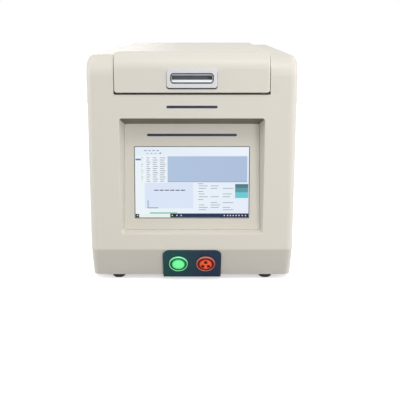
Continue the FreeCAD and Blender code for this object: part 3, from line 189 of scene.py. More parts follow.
def pick_edges(piece, test):
    """Select in edit mode the edges that pass a test."""
    bpy.ops.mesh.select_mode(type="EDGE")
    bpy.ops.mesh.select_all(action="DESELECT")
    mesh = bmesh.from_edit_mesh(piece.data)
    for edge in mesh.edges:
        if test(edge):
            edge.select_set(True)
    mesh.select_flush_mode()
    bmesh.update_edit_mesh(piece.data)


def outward(piece):
    edit(piece)
    bpy.ops.mesh.remove_doubles(threshold=1e-6)
    bpy.ops.mesh.normals_make_consistent(inside=False)
    leave_edit()


def turned(name, profile, segments=72, closed=False):
    """A piece turned about Z, from pairs of radius and height in millimetres."""
    deselect()
    radius, height = profile[0]
    bpy.ops.mesh.primitive_circle_add(vertices=segments, radius=radius * MM, location=(0, 0, height * MM))
    piece = named(name)
    apply_place(piece)
    edit(piece)
    if not closed:
        bpy.ops.mesh.edge_face_add()
    bpy.ops.mesh.select_mode(type="EDGE")
    steps = list(profile[1:]) + ([profile[0]] if closed else [])
    for new_radius, new_height in steps:
        bpy.ops.mesh.extrude_edges_move(TRANSFORM_OT_translate={"value": (0, 0, (new_height - height) * MM)})
        scale = new_radius / radius
        bpy.ops.transform.resize(value=(scale, scale, 1), center_override=(0, 0, new_height * MM))
        radius, height = new_radius, new_height
    if not closed:
        bpy.ops.mesh.edge_face_add()
    leave_edit()
    outward(piece)
    return piece


def front_plane(name, half_x, half_z, centre, back):
    """A plane that faces the front, in millimetres."""
    deselect()
    bpy.ops.mesh.primitive_plane_add(size=2, location=(centre[0] * MM, back * MM, centre[1] * MM),
                                     rotation=(math.pi / 2, 0, 0))
    piece = named(name)
    piece.scale = (half_x * MM, half_z * MM, 1)
    apply_place(piece)
    return piece


def extrude(x, y, z):
    """Extrude what is selected, in millimetres."""
    bpy.ops.mesh.extrude_region_move(TRANSFORM_OT_translate={"value": (x * MM, y * MM, z * MM)})


def round_corners(corner, segments):
    if corner > 0:
        bpy.ops.mesh.bevel(offset=corner * MM, segments=segments, affect="VERTICES")
        bpy.ops.mesh.select_all(action="SELECT")


def rounded_plate(name, half_x, half_z, centre, front, thick, corner=0.0, bevel=0.0):
    """A plate that faces the front, in millimetres, its corners and front edge rounded."""
    piece = front_plane(name, half_x, half_z, centre, front + thick)
    edit(piece)
    round_corners(corner, 8)
    extrude(0, -thick, 0)
    leave_edit()
    outward(piece)
    if bevel > 0:
        edit(piece)
        limit = front * MM + 1e-6
        pick_edges(piece, lambda edge: all(v.co.y < limit for v in edge.verts))
        bpy.ops.mesh.bevel(offset=bevel * MM, segments=3, affect="EDGES")
        leave_edit()
    smooth(piece)
    return piece


def rounded_ring(name, half_x, half_z, centre, front, thick, corner, width, segments=10):
    """A flat frame that faces the front, in millimetres, outer size, corner and band width."""
    piece = front_plane(name, half_x, half_z, centre, front + thick)
    edit(piece)
    round_corners(corner, segments)
    bpy.ops.mesh.select_mode(type="FACE")
    bpy.ops.mesh.inset(thickness=width * MM, use_even_offset=True)
    bpy.ops.mesh.delete(type="FACE")
    bpy.ops.mesh.select_all(action="SELECT")
    extrude(0, -thick, 0)
    leave_edit()
    outward(piece)
    modify(piece, "BEVEL", width=min(width, thick) * 0.25 * MM, segments=2, limit_method="ANGLE",
           angle_limit=math.radians(50))
    smooth(piece)
    return piece


def on_panel(piece):
    """Lean a piece back with the recess panel."""
    foot = Matrix.Translation((0, PANEL_FOOT[0] * MM, PANEL_FOOT[1] * MM))
    lean = Matrix.Rotation(math.radians(-PANEL_LEAN), 4, "X")
    apply_place(piece, foot @ lean @ foot.inverted())


def joined(name, pieces):
    deselect()
    for piece in pieces:
        piece.select_set(True)
    bpy.context.view_layer.objects.active = pieces[0]
    if len(pieces) > 1:
        bpy.ops.object.join()
    return named(name)


def settle(piece, body, material=None, stands_for=()):
    """Give a finished piece its material and body, and hide the solids that it stands for."""
    if material is not None:
        piece.data.materials.clear()
        piece.data.materials.append(material)
    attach(piece, body)
    if stands_for:
        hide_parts(*stands_for)
    return piece


def dress(material, *nodes):
    """Give solids that stay as they are their finish."""
    for node in nodes:
        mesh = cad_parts[node].data
        mesh.materials.clear()
        mesh.materials.append(material)


# Materials
def add_node(tree, kind, settings=None, links=None):
    """Add a shader node, set its inputs or properties, and link its inputs."""
    node = tree.nodes.new(kind)
    for key, value in (settings or {}).items():
        if isinstance(key, int) or key in node.inputs:
            node.inputs[key].default_value = value
        else:
            setattr(node, key, value)
    for key, source in (links or {}).items():
        tree.links.new(source, node.inputs[key])
    return node


def fresh(name):
    material = bpy.data.materials.new(name)
    material.use_nodes = True
    material.node_tree.nodes.clear()
    return material, material.node_tree


def shade(rgb, factor):
    return tuple(min(1.0, c * factor) for c in rgb) + (1.0,)


def surface(name, rgb, roughness, grain, relief=0.0, stretch=(1, 1, 1), swing=0.03, gloss_swing=0.05,
            patch=70.0, cells=False, second=None, **shader):
    """A finish with a grain and slow patches, of real sizes in millimetres.

    They vary its colour, gloss and relief. A second tone is a colour and a function that makes its mask.
    """
    material, tree = fresh(name)
    place = add_node(tree, "ShaderNodeTexCoord").outputs["Object"]
    drawn = add_node(tree, "ShaderNodeMapping", {"Scale": stretch}, {"Vector": place}).outputs[0]
    if cells:
        fine = add_node(tree, "ShaderNodeTexVoronoi", {"Scale": 1 / (grain * MM)},
                        {"Vector": drawn}).outputs[0]
    else:
        fine = add_node(tree, "ShaderNodeTexNoise", {"Scale": 1 / (grain * MM), "Detail": 3.0},
                        {"Vector": drawn}).outputs[0]
    slow = add_node(tree, "ShaderNodeTexNoise", {"Scale": 1 / (patch * MM), "Detail": 2.0},
                    {"Vector": place}).outputs[0]
    mean = add_node(tree, "ShaderNodeMix", {"data_type": "FLOAT", 0: 0.5}, {2: fine, 3: slow}).outputs[0]
    tint = add_node(tree, "ShaderNodeMix",
                    {"data_type": "RGBA", 6: shade(rgb, 1 - swing), 7: shade(rgb, 1 + swing)},
                    {0: mean}).outputs[2]
    if second is not None:
        other, mask = second
        tint = add_node(tree, "ShaderNodeMix", {"data_type": "RGBA", 7: other + (1.0,)},
                        {0: mask(tree), 6: tint}).outputs[2]
    gloss = add_node(tree, "ShaderNodeMapRange", {"To Min": max(0.03, roughness - gloss_swing),
                                                  "To Max": min(1.0, roughness + gloss_swing)},
                     {"Value": mean}).outputs[0]
    body = add_node(tree, "ShaderNodeBsdfPrincipled", shader, {"Base Color": tint, "Roughness": gloss})
    if relief > 0:
        bump = add_node(tree, "ShaderNodeBump", {"Distance": relief * MM}, {"Height": fine})
        tree.links.new(bump.outputs[0], body.inputs["Normal"])
    add_node(tree, "ShaderNodeOutputMaterial", None, {"Surface": body.outputs[0]})
    return material


def lit_panel(name, left, right, half_x, strength):
    """Backlit liquid crystal under a satin polariser: its light shifts a little from left to right."""
    material, tree = fresh(name)
    place = add_node(tree, "ShaderNodeTexCoord").outputs["Object"]
    across = add_node(tree, "ShaderNodeSeparateXYZ", None, {0: place}).outputs[0]
    share = add_node(tree, "ShaderNodeMapRange", {"From Min": -half_x * MM, "From Max": half_x * MM},
                     {"Value": across}).outputs[0]
    light = add_node(tree, "ShaderNodeMix", {"data_type": "RGBA", 6: left + (1.0,), 7: right + (1.0,)},
                     {0: share}).outputs[2]
    body = add_node(tree, "ShaderNodeBsdfPrincipled",
                    {"Base Color": (0.008, 0.009, 0.011, 1), "Roughness": 0.30, "Emission Strength": strength,
                     "Specular IOR Level": 0.15},
                    {"Emission Color": light})
    add_node(tree, "ShaderNodeOutputMaterial", None, {"Surface": body.outputs[0]})
    return material


def lens_finish(name, stops, centre, radius, strength, ring_pitch=1.1):
    """Lit button lens of moulded polycarbonate: its light falls off from the middle over fine rings."""
    material, tree = fresh(name)
    place = add_node(tree, "ShaderNodeTexCoord").outputs["Object"]
    reach = add_node(tree, "ShaderNodeVectorMath", {"operation": "DISTANCE", 1: centre},
                     {0: place}).outputs["Value"]
    share = add_node(tree, "ShaderNodeMath", {"operation": "DIVIDE", 1: radius * MM}, {0: reach}).outputs[0]
    ramp = add_node(tree, "ShaderNodeValToRGB", None, {"Fac": share})
    for end in (0, -1):
        ramp.color_ramp.elements[end].position = stops[end][0]
        ramp.color_ramp.elements[end].color = stops[end][1] + (1.0,)
    for position, rgb in stops[1:-1]:
        ramp.color_ramp.elements.new(position).color = rgb + (1.0,)
    speck = add_node(tree, "ShaderNodeTexNoise", {"Scale": 1 / (2.6 * MM), "Detail": 2.0},
                     {"Vector": place}).outputs[0]
    level = add_node(tree, "ShaderNodeMapRange",
                     {"From Min": 0.35, "From Max": 0.65, "To Min": 0.82, "To Max": 1.06},
                     {"Value": speck}).outputs[0]
    light = add_node(tree, "ShaderNodeVectorMath", {"operation": "SCALE"},
                     {0: ramp.outputs[0], "Scale": level}).outputs[0]
    turns = add_node(tree, "ShaderNodeMath", {"operation": "MULTIPLY", 1: 2 * math.pi / (ring_pitch * MM)},
                     {0: reach}).outputs[0]
    rings = add_node(tree, "ShaderNodeMath", {"operation": "SINE"}, {0: turns}).outputs[0]
    bump = add_node(tree, "ShaderNodeBump", {"Distance": 0.08 * MM}, {"Height": rings}).outputs[0]
    body = add_node(tree, "ShaderNodeBsdfPrincipled",
                    {"Roughness": 0.22, "IOR": 1.585, "Emission Strength": strength,
                     "Specular IOR Level": 0.25},
                    {"Base Color": ramp.outputs[0], "Emission Color": light, "Normal": bump})
    add_node(tree, "ShaderNodeOutputMaterial", None, {"Surface": body.outputs[0]})
    return material


def circuit_board(name):
    """Glass-epoxy board under green solder mask: fine copper tracks show through as lighter lines."""
    material, tree = fresh(name)
    place = add_node(tree, "ShaderNodeTexCoord").outputs["Object"]
    tracks = add_node(tree, "ShaderNodeTexBrick",
                      {"Scale": 1 / (9.0 * MM), "Mortar Size": 0.03, "Color1": (0, 0, 0, 1),
                       "Color2": (0, 0, 0, 1), "Mortar": (1, 1, 1, 1)}, {"Vector": place}).outputs[0]
    cloud = add_node(tree, "ShaderNodeTexNoise", {"Scale": 1 / (12.0 * MM)}, {"Vector": place}).outputs[0]
    share = add_node(tree, "ShaderNodeMath", {"operation": "MULTIPLY"}, {0: tracks, 1: cloud}).outputs[0]
    tint = add_node(tree, "ShaderNodeMix",
                    {"data_type": "RGBA", 6: linear("14502F") + (1.0,), 7: linear("4C9A5E") + (1.0,)},
                    {0: share}).outputs[2]
    bump = add_node(tree, "ShaderNodeBump", {"Distance": 0.05 * MM}, {"Height": tracks}).outputs[0]
    body = add_node(tree, "ShaderNodeBsdfPrincipled", {"Roughness": 0.32, "IOR": 1.54},
                    {"Base Color": tint, "Normal": bump})
    add_node(tree, "ShaderNodeOutputMaterial", None, {"Surface": body.outputs[0]})
    return material


def chosen():
    return bpy.context.scene.analyser_colours, bpy.context.scene.analyser_sizes


def kept(name, make):
    """The material of that name, made the first time that it is asked for."""
    return bpy.data.materials.get(name) or make(name)


# Satin two-pack paint over moulded ABS: a barely seen orange peel breaks up soft highlights
def satin_paint(name, second=None):
    return surface(name, tuple(chosen()[0].casing), 0.42, 1.8, 0.012, swing=0.012, gloss_swing=0.04,
                   second=second, IOR=1.5)


def cream_paint():
    return kept("Satin cream paint", satin_paint)


# The same paint, with a matt taupe tone under the head of the recess: painted shade on the recess ceiling
def front_paint_with_painted_shade():
    return kept("Satin cream paint, recess",
                lambda name: satin_paint(name, (linear("665B4A"), recess_head_painted_shade)))


# Textured powder coat on steel: a fine wrinkled grain that scatters light evenly
def powder_coat():
    return kept("Powder-coated steel",
                lambda name: surface(name, tuple(chosen()[0].coated), 0.58, 1.1, 0.09, swing=0.03, IOR=1.5))


# Zinc-plated steel sheet: cool grey with faint spangles of crystal
def zinc_sheet():
    return kept("Zinc-plated sheet",
                lambda name: surface(name, linear("B4B9BD"), 0.36, 7.0, 0.004, swing=0.10, cells=True,
                                     Metallic=1.0))


# Brushed stainless steel: hair lines along the width stretch each highlight
def brushed_stainless():
    return kept("Brushed stainless steel",
                lambda name: surface(name, linear("A9ADB0"), 0.36, 0.9, 0.006, stretch=(0.04, 1, 1),
                                     swing=0.06, gloss_swing=0.10, Metallic=1.0))


# Turned and plated steel of screws and small parts: bright, with a slight yellow cast
def plated_steel():
    return kept("Plated screw steel",
                lambda name: surface(name, linear("ABA9A2"), 0.30, 1.5, 0.004, swing=0.08, Metallic=1.0))


# Drawn brass: warm yellow with a dull oxide in patches
def drawn_brass():
    return kept("Drawn brass",
                lambda name: surface(name, linear("C9A45B"), 0.30, 2.0, 0.004, swing=0.12, patch=20.0,
                                     Metallic=1.0))


# Moulded rubber: near black, dusty and dull
def moulded_rubber():
    return kept("Moulded rubber",
                lambda name: surface(name, linear("1B1C1E"), 0.78, 0.8, 0.03, swing=0.18))


# Spark-textured black nylon of connectors and fans: a fine dull grain
def black_nylon():
    return kept("Moulded black nylon",
                lambda name: surface(name, linear("1A1B1D"), 0.48, 0.7, 0.02, swing=0.15, IOR=1.53))


# Masks of second tones that paint shade and glow: 1 where the tone lies and 0 elsewhere
def recess_head_painted_shade(tree):
    """The ceiling of the recess, where its shade is painted: faces that look down, between the panel and the
    lip.
    """
    place = add_node(tree, "ShaderNodeTexCoord")
    up = add_node(tree, "ShaderNodeSeparateXYZ", None, {0: place.outputs["Object"]}).outputs[2]
    facing = add_node(tree, "ShaderNodeSeparateXYZ", None, {0: place.outputs["Normal"]}).outputs[2]
    downward = add_node(tree, "ShaderNodeMapRange", {"From Min": -0.35, "From Max": -0.75},
                        {"Value": facing}).outputs[0]
    above = add_node(tree, "ShaderNodeMath", {"operation": "GREATER_THAN", 1: RECESS_SHADE_HEIGHTS[0] * MM},
                     {0: up}).outputs[0]
    below = add_node(tree, "ShaderNodeMath", {"operation": "LESS_THAN", 1: RECESS_SHADE_HEIGHTS[1] * MM},
                     {0: up}).outputs[0]
    band = add_node(tree, "ShaderNodeMath", {"operation": "MULTIPLY"}, {0: above, 1: below}).outputs[0]
    return add_node(tree, "ShaderNodeMath", {"operation": "MULTIPLY"}, {0: band, 1: downward}).outputs[0]


def cup_rear_painted_shade(tree):
    """The rear wall of the handle's cup, where its shade is painted."""
    place = add_node(tree, "ShaderNodeTexCoord")
    depth = add_node(tree, "ShaderNodeSeparateXYZ", None, {0: place.outputs["Object"]}).outputs[1]
    facing = add_node(tree, "ShaderNodeSeparateXYZ", None, {0: place.outputs["Normal"]}).outputs[1]
    deep = add_node(tree, "ShaderNodeMath", {"operation": "GREATER_THAN", 1: CUP_REAR * MM},
                    {0: depth}).outputs[0]
    upright = add_node(tree, "ShaderNodeMath", {"operation": "LESS_THAN", 1: -0.8}, {0: facing}).outputs[0]
    return add_node(tree, "ShaderNodeMath", {"operation": "MULTIPLY"}, {0: deep, 1: upright}).outputs[0]


def plate_painted_glow(tree):
    """From the power button's side of the plate, 0, to the x-ray button's side, 1: over it the painted glow
    fades out.
    """
    place = add_node(tree, "ShaderNodeTexCoord").outputs["Object"]
    across = add_node(tree, "ShaderNodeSeparateXYZ", None, {0: place}).outputs[0]
    start, end = PLATE_GLOW_FADE
    return add_node(tree, "ShaderNodeMapRange", {"From Min": start * MM, "From Max": end * MM},
                    {"Value": across}).outputs[0]


# Nodes that stay as they are, by finish
PAINTED = ("main_cover", "lid_shell")
COATED = ("rear_panel", "base_tray", "hv_supply")
ZINC = ("side_frame_left", "side_frame_right", "front_brackets", "deck_plate", "display_module",
        "display_bracket", "tube_cradle", "power_supply", "window_ring")
STAINLESS = ("chamber_tray", "bay_cover", "lid_liner")
PLATED = ("casing_screws", "inner_screws", "interlock_magnet", "fan_guard", "hinge_body_leaves",
          "hinge_lid_leaves", "hinge_pins")
BRASS = ("board_standoffs", "tube_shield", "inlet_pins", "earth_stud")
RUBBER = ("feet", "lid_seal", "lid_stops")
NYLON = ("interlock_sensor", "power_switch", "xray_switch", "filter_motor", "fan_frame", "fan_rotor",
         "inlet_housing", "fuse_drawer", "port_block")


class AnalyserOperator(Operator):
    """Shared settings of the operators below."""

    bl_options = {"REGISTER", "UNDO"}


class ANALYSER_OT_casing(AnalyserOperator):
    """Paint the casing and the lid, with painted shade on the recess ceiling, coat the rear wall and the
    base, and add the rubber edgings that paint the shadow lines round the lid
    """

    bl_idname = "analyser.casing"
    bl_label = "Casing and lid"

    def execute(self, context):
        dress(cream_paint(), *PAINTED)
        # The front shell's paint has painted shade on the recess ceiling
        dress(front_paint_with_painted_shade(), "front_shell")
        dress(powder_coat(), *COATED)
        dress(moulded_rubber(), *RUBBER)
        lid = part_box("lid_shell")
        lid_side = lid[1].x / MM
        sill = lid[0].z / MM - 1.6
        # Extruded brown-grey rubber edging along the sill: a dark line under the lid that paints the lid's
        # shadow gap
        shadow_brown = surface("Extruded brown-grey rubber, painted shadow line", linear("3E3832"), 0.7, 0.8, 0.02, swing=0.12)
        shadow_edging = rounded_plate("sill_shadow_edging", half_x=lid_side - 1.0, half_z=1.4, centre=(0, sill - 1.45),
                               front=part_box("front_shell")[0].y / MM - 0.35, thick=0.4, corner=1.3,
                               bevel=0.1)
        settle(shadow_edging, "casing", shadow_brown)
        # Extruded taupe rubber down both sides of the lid's opening, set just below the paint: its darker
        # tone paints the shade in the gaps beside the lid
        gap_shade_taupe = surface("Extruded taupe rubber, painted gap shade", linear("8F887B"), 0.7, 0.8, 0.02, swing=0.08)
        shade_strips = [self.side_strip(side * (lid_side + 0.85)) for side in (-1, 1)]
        settle(joined("opening_shade_strips", shade_strips), "casing", gap_shade_taupe)
        return {"FINISHED"}

    @staticmethod
    def side_strip(x):
        """A strip that follows the shoulder's outline: up the front, round it and to the rear. Its darker
        tone paints the shade in the gap beside the lid.
        """
        # Its width and depth, how far it is sunk, the height where it starts, and the steps of its turn
        width, deep, sunk, foot, turn = 1.1, 4.0, 1.6, 378.0, 10.0
        round_y, round_z = SHOULDER_FRONT + SHOULDER_ROUND, SHOULDER_TOP - SHOULDER_ROUND
        deselect()
        start = (x * MM, (SHOULDER_FRONT + sunk + deep / 2) * MM, foot * MM)
        bpy.ops.mesh.primitive_plane_add(size=1, location=start)
        strip = named("opening_shade_strip")
        strip.scale = (width * MM, deep * MM, 1)
        apply_place(strip)
        edit(strip)
        extrude(0, 0, round_z - foot)
        for step in range(round(90 / turn)):
            extrude(0, 0, 0)
            bpy.ops.transform.rotate(value=math.radians(turn), orient_axis="X",
                                     center_override=(0, round_y * MM, round_z * MM))
        extrude(0, SHOULDER_RUN, 0)
        leave_edit()
        outward(strip)
        return strip


class ANALYSER_OT_metalwork(AnalyserOperator):
    """Give the inner frame, the chamber and the fixings their metals"""

    bl_idname = "analyser.metalwork"
    bl_label = "Frame, chamber and fixings"

    def execute(self, context):
        dress(zinc_sheet(), *ZINC)
        dress(brushed_stainless(), *STAINLESS)
        dress(plated_steel(), *PLATED)
        dress(drawn_brass(), *BRASS)
        dress(black_nylon(), *NYLON)
        return {"FINISHED"}


class ANALYSER_OT_optics(AnalyserOperator):
    """Finish the x-ray tube, the filters, the detector and the high voltage lead"""

    bl_idname = "analyser.optics"
    bl_label = "Optics and high voltage"

    def execute(self, context):
        # Cast and machined aluminium: pale grey with fine cutter marks
        machined = surface("Machined aluminium", linear("C4C6C8"), 0.38, 1.2, 0.008, stretch=(1, 0.06, 1),
                           swing=0.07, Metallic=1.0)
        # Ceramic and steel of the sealed tube: off-white glaze
        glaze = surface("Glazed ceramic", linear("D9D4C6"), 0.18, 3.0, 0.002, swing=0.04, IOR=1.6)
        # Polyester window film: nearly clear with a faint amber cast
        film = surface("Polyester film", linear("E8D9B4"), 0.12, 6.0, 0.01, swing=0.03, IOR=1.6,
                       **{"Transmission Weight": 0.75})
        # Rolled aluminium foil: bright, a little creased
        foil = surface("Rolled foil", linear("D3D5D6"), 0.22, 3.0, 0.05, swing=0.08, Metallic=1.0)
        # Silicone jacket of the high voltage lead: matt dark grey with a soft sheen
        jacket = surface("Silicone jacket", linear("33343A"), 0.55, 1.0, 0.02, swing=0.12,
                         **{"Sheen Weight": 0.15})
        dress(machined, "optics_block", "filter_wheel", "detector")
        dress(glaze, "xray_tube")
        dress(film, "window_film")
        dress(foil, "filter_foils")
        dress(jacket, "hv_cable")
        dress(circuit_board("Solder-masked circuit board"), "computer_board", "processor_board")
        return {"FINISHED"}


# Where each part of the lit picture lies, in shares of its width and height from the top left corner
PICTURE_BLOCKS = (
    ("toolbar", 0.0, 0.0, 1.0, 0.12),
    ("cell", 0.004, 0.163, 0.05, 0.187),
    ("chart", 0.285, 0.13, 0.986, 0.485),
    ("chart_foot", 0.285, 0.485, 0.986, 0.497),
    ("pane", 0.083, 0.505, 0.51, 0.87),
    ("thumb_top", 0.881, 0.523, 0.996, 0.575),
    ("thumb_middle", 0.881, 0.575, 0.996, 0.64),
    ("thumb_low", 0.881, 0.64, 0.996, 0.722),
    ("ink", 0.108, 0.756, 0.114, 0.864),
    ("ink", 0.108, 0.858, 0.20, 0.868),
    ("progress", 0.126, 0.928, 0.368, 0.946),
    ("black", 0.0, 0.95, 0.032, 1.0),
    ("search", 0.032, 0.95, 0.307, 1.0),
    ("black", 0.307, 0.943, 0.36, 1.0),
    ("navy", 0.36, 0.943, 0.77, 1.0),
    ("violet", 0.77, 0.943, 1.0, 1.0),
)
LIST_COLUMNS = ((0.055, 0.07), (0.10, 0.134), (0.155, 0.20), (0.217, 0.267))
DETAIL_COLUMNS = ((0.56, 0.639), (0.664, 0.75), (0.772, 0.866))
DETAIL_ROWS = (0.545, 0.58, 0.66, 0.70, 0.784, 0.818, 0.852, 0.886)
HEADING_ROWS = (0.515, 0.625, 0.74)
TASK_LIGHTS = (0.018, 0.325, 0.366, 0.404, 0.787, 0.816, 0.841, 0.866, 0.892, 0.917, 0.946, 0.975)
# The colour of each kind of mark at the left of the display and, where it shifts, at the right
PICTURE_COLOURS = {
    "page": ("F0F8FD", "E8F0FC"),
    "toolbar": ("E6F1FB", "EFF6FF"),
    "cell": ("4C86C6",),
    "chart": ("B3C8E2", "AFC1DF"),
    "chart_foot": ("9FB0CA",),
    "pane": ("DDE8FB",),
    "thumb_top": ("4A7B84",),
    "thumb_middle": ("5C9AA5",),
    "thumb_low": ("6CCAD4",),
    "ink": ("6A737C",),
    "faint": ("8C97A2", "8C97A6"),
    "caption": ("3A4248",),
    "progress": ("6FC59A",),
    "search": ("EAF6F2",),
    "black": ("0C1218",),
    "navy": ("0E2A4A",),
    "violet": ("141640",),
    "spark": ("DCE8F4",),
}


def picture_marks():
    """Every small mark of the picture: dashes that stand for rows and columns, and dots."""
    marks = list(PICTURE_BLOCKS)
    for row in range(12):
        top = 0.148 + 0.03 * row
        for column, (left, right) in enumerate(LIST_COLUMNS):
            marks.append(("faint", left, top, right - 0.006 * ((row + column) % 3), top + 0.009))
    for row, top in enumerate(DETAIL_ROWS):
        for column, (left, right) in enumerate(DETAIL_COLUMNS):
            if (row + 2 * column) % 5 != 4:
                marks.append(("faint", left, top, right - 0.014 * ((row + column) % 3), top + 0.008))
    for top in HEADING_ROWS:
        marks.append(("faint", 0.553, top, 0.60, top + 0.008))
    for dash in range(6):
        left = 0.166 + 0.047 * dash
        marks.append(("caption", left, 0.604, left + 0.038, 0.617))
    for dash in range(4):
        left = 0.08 + 0.036 * dash
        marks.append(("faint", left, 0.045, left + 0.022, 0.056))
        marks.append(("faint", left + 0.02, 0.085, left + 0.036, 0.094))
    marks.append(("ink", 0.219, 0.078, 0.229, 0.094))
    for centre in TASK_LIGHTS:
        marks.append(("spark", centre - 0.005, 0.964, centre + 0.005, 0.980))
    return marks


class ANALYSER_OT_display(AnalyserOperator):
    """Finish the recess panel, frame the display and light it with a plain generic picture"""

    bl_idname = "analyser.display"
    bl_label = "Display"

    def execute(self, context):
        colours, sizes = chosen()
        # Screen-printed polycarbonate overlay: smooth satin, slightly warmer than the paint
        overlay = surface("Satin overlay film", tuple(colours.overlay), 0.50, 1.2, 0.008, swing=0.012,
                          IOR=1.58)
        # Toughened glass over the dark edge of the panel
        glass = surface("Toughened glass", linear("14181B"), 0.08, 12.0, swing=0.1, IOR=1.52)
        # Foamed gasket line round the display: dull dark grey, partly the dark edge of the glass and partly a
        # painted shadow of the window's edge
        foam_and_shadow = surface("Foamed gasket, partly painted shadow", linear("2A2C2E"), 0.8, 0.6, 0.02, swing=0.12)
        dress(overlay, "display_panel")
        dress(glass, "display_glass")
        half_x, half_z = DISPLAY_HALF
        middle = DISPLAY_MIDDLE
        face = PANEL_FOOT[0]
        band = sizes.shadow_gasket / MM
        shadow_gasket = rounded_ring("display_gasket_shadow", half_x + 0.3, half_z + 0.3, (0, middle), front=face - 2.2,
                              thick=2.2, corner=2.2, width=band)
        on_panel(shadow_gasket)
        settle(shadow_gasket, "casing", foam_and_shadow)
        page = rounded_plate("page", half_x, half_z, (0, middle), front=face - PAGE_LIFT,
                             thick=PAGE_LIFT - PAGE_BACK, corner=1.5)
        page.data.materials.append(self.light("page"))
        pieces = [page]
        for order, (kind, left, top, right, bottom) in enumerate(picture_marks()):
            block = order < len(PICTURE_BLOCKS) and kind not in ("ink", "progress")
            lift = BLOCK_LIFT if block else MARK_LIFT
            centre_x = ((left + right) / 2 - 0.5) * 2 * (half_x - band)
            centre_z = middle + (0.5 - (top + bottom) / 2) * 2 * (half_z - band)
            mark = rounded_plate(kind, (right - left) * (half_x - band), (bottom - top) * (half_z - band),
                                 (centre_x, centre_z), front=face - lift, thick=lift - MARK_BACK)
            mark.data.materials.append(self.light(kind))
            pieces.append(mark)
        picture = joined("display_picture", pieces)
        on_panel(picture)
        settle(picture, "casing")
        return {"FINISHED"}

    @staticmethod
    def light(kind):
        codes = PICTURE_COLOURS[kind]
        return kept("Lit display " + kind,
                    lambda name: lit_panel(name, linear(codes[0]), linear(codes[-1]), DISPLAY_HALF[0],
                                           SCREEN_STRENGTH))


class ANALYSER_OT_accents(AnalyserOperator):
    """Print the two plain accent bars, above the recess and above the display"""

    bl_idname = "analyser.accents"
    bl_label = "Accent bars"

    def execute(self, context):
        colours, sizes = chosen()
        # Screen-printed epoxy ink: flat dark navy with soft edges
        ink = surface("Screen-printed ink", tuple(colours.accent), 0.5, 1.0, 0.01, swing=0.10)
        half_z = sizes.accent_height / 2 / MM
        thick = sizes.mark / MM
        lid_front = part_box("handle_plate")[0].y / MM + HANDLE_PROUD
        upper = self.bar("accent_upper", UPPER_ACCENT, half_z, lid_front, thick)
        lower = self.bar("accent_lower", LOWER_ACCENT, half_z, PANEL_FACE, thick)
        on_panel(lower)
        for bar in (upper, lower):
            settle(bar, "casing", ink)
        return {"FINISHED"}

    @staticmethod
    def bar(name, accent, half_z, face, thick):
        """A bar with round ends, printed on a face at this depth."""
        half_x, height = accent
        return rounded_plate(name, half_x, half_z, (0, height), front=face - thick, thick=thick,
                             corner=half_z - 0.01, bevel=0.05)


class ANALYSER_OT_handle(AnalyserOperator):
    """Finish the lid handle: anodised plate and moulded cup, with their trim, gasket and grips; the cup's
    rear wall has painted shade and the gasket paints the shadow line under the plate
    """

    bl_idname = "analyser.handle"
    bl_label = "Lid handle"

    def execute(self, context):
        colours, sizes = chosen()
        # Satin-anodised aluminium: cool white with faint brush lines along its length
        anodised = surface("Satin anodised aluminium", tuple(colours.handle), 0.42, 0.8, 0.004,
                           stretch=(0.05, 1, 1), swing=0.03, Metallic=0.35)
        # Moulded pale grey ABS of the cup, its rear wall a darker matt grey that is painted shade in the deep
        # of the cup
        grey = surface("Moulded grey ABS, painted shade in cup", linear("E6E9EA"), 0.45, 0.8, 0.012, swing=0.05, IOR=1.5,
                       second=(linear("6C7174"), cup_rear_painted_shade))
        # Moulded slate ABS of the trim: dark blue-grey with a soft sheen
        slate = surface("Moulded slate ABS", linear("262E33"), 0.42, 0.7, 0.008, swing=0.06, IOR=1.5)
        dress(anodised, "handle_plate")
        dress(grey, "handle_cup")
        low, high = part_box("handle_plate")
        middle = (low.z + high.z) / 2 / MM
        front = low.y / MM
        width = sizes.slot_trim / MM
        trim = rounded_ring("slot_trim", half_x=40.6, half_z=9.4, centre=(0, middle + 0.8), front=front - 0.2,
                            thick=3.0, corner=6.2, width=width)
        settle(trim, "lid", slate)
        # Moulded rubber gasket behind the plate: a fine dark line under it, which is a painted shadow of the
        # plate
        shadow_gasket = rounded_ring("handle_shadow_gasket", half_x=47.4, half_z=17.8, centre=(0, middle - 1.9),
                              front=high.y / MM - 0.9, thick=0.85, corner=5.0, width=4.0)
        settle(shadow_gasket, "lid", moulded_rubber())
        # Moulded mid grey rubber of the finger grip: soft and dull
        rubber = surface("Moulded grey rubber", linear("A6A9AB"), 0.6, 0.8, 0.02, swing=0.08)
        grip_half = 39.0 - width
        strip = rounded_plate("grip_strip", grip_half, half_z=1.6, centre=(0, middle + 6.7),
                              front=front + 2.4, thick=1.4, corner=0.6, bevel=0.3)
        settle(strip, "lid", rubber)
        # The thumb rest at the foot of the slot leans back, so it catches the light
        rest_height, rest_depth, rest_lean = middle - 4.6, 1.6, 30.0
        rest = rounded_plate("thumb_rest", grip_half, half_z=2.7, centre=(0, rest_height),
                             front=front + rest_depth, thick=1.0, corner=1.6, bevel=0.3)
        centre = Matrix.Translation((0, low.y + rest_depth * MM, rest_height * MM))
        apply_place(rest, centre @ Matrix.Rotation(math.radians(-rest_lean), 4, "X") @ centre.inverted())
        settle(rest, "lid", grey)
        lining = rounded_ring("slot_lining", half_x=40.0 - width, half_z=9.5 - width, centre=(0, middle),
                              front=front + 0.6, thick=2.2, corner=4.0, width=0.6, segments=8)
        settle(lining, "lid", grey)
        return {"FINISHED"}


def plate_place(x):
    """The place of a turned piece on the sloping button plate: Z points out of it."""
    across = Vector((1, 0, 0))
    upward = Vector(PLATE_UPWARD)
    place = Matrix((across, upward, across.cross(upward))).transposed().to_4x4()
    place.translation = Vector((x, *PLATE_MIDDLE)) * MM
    return place


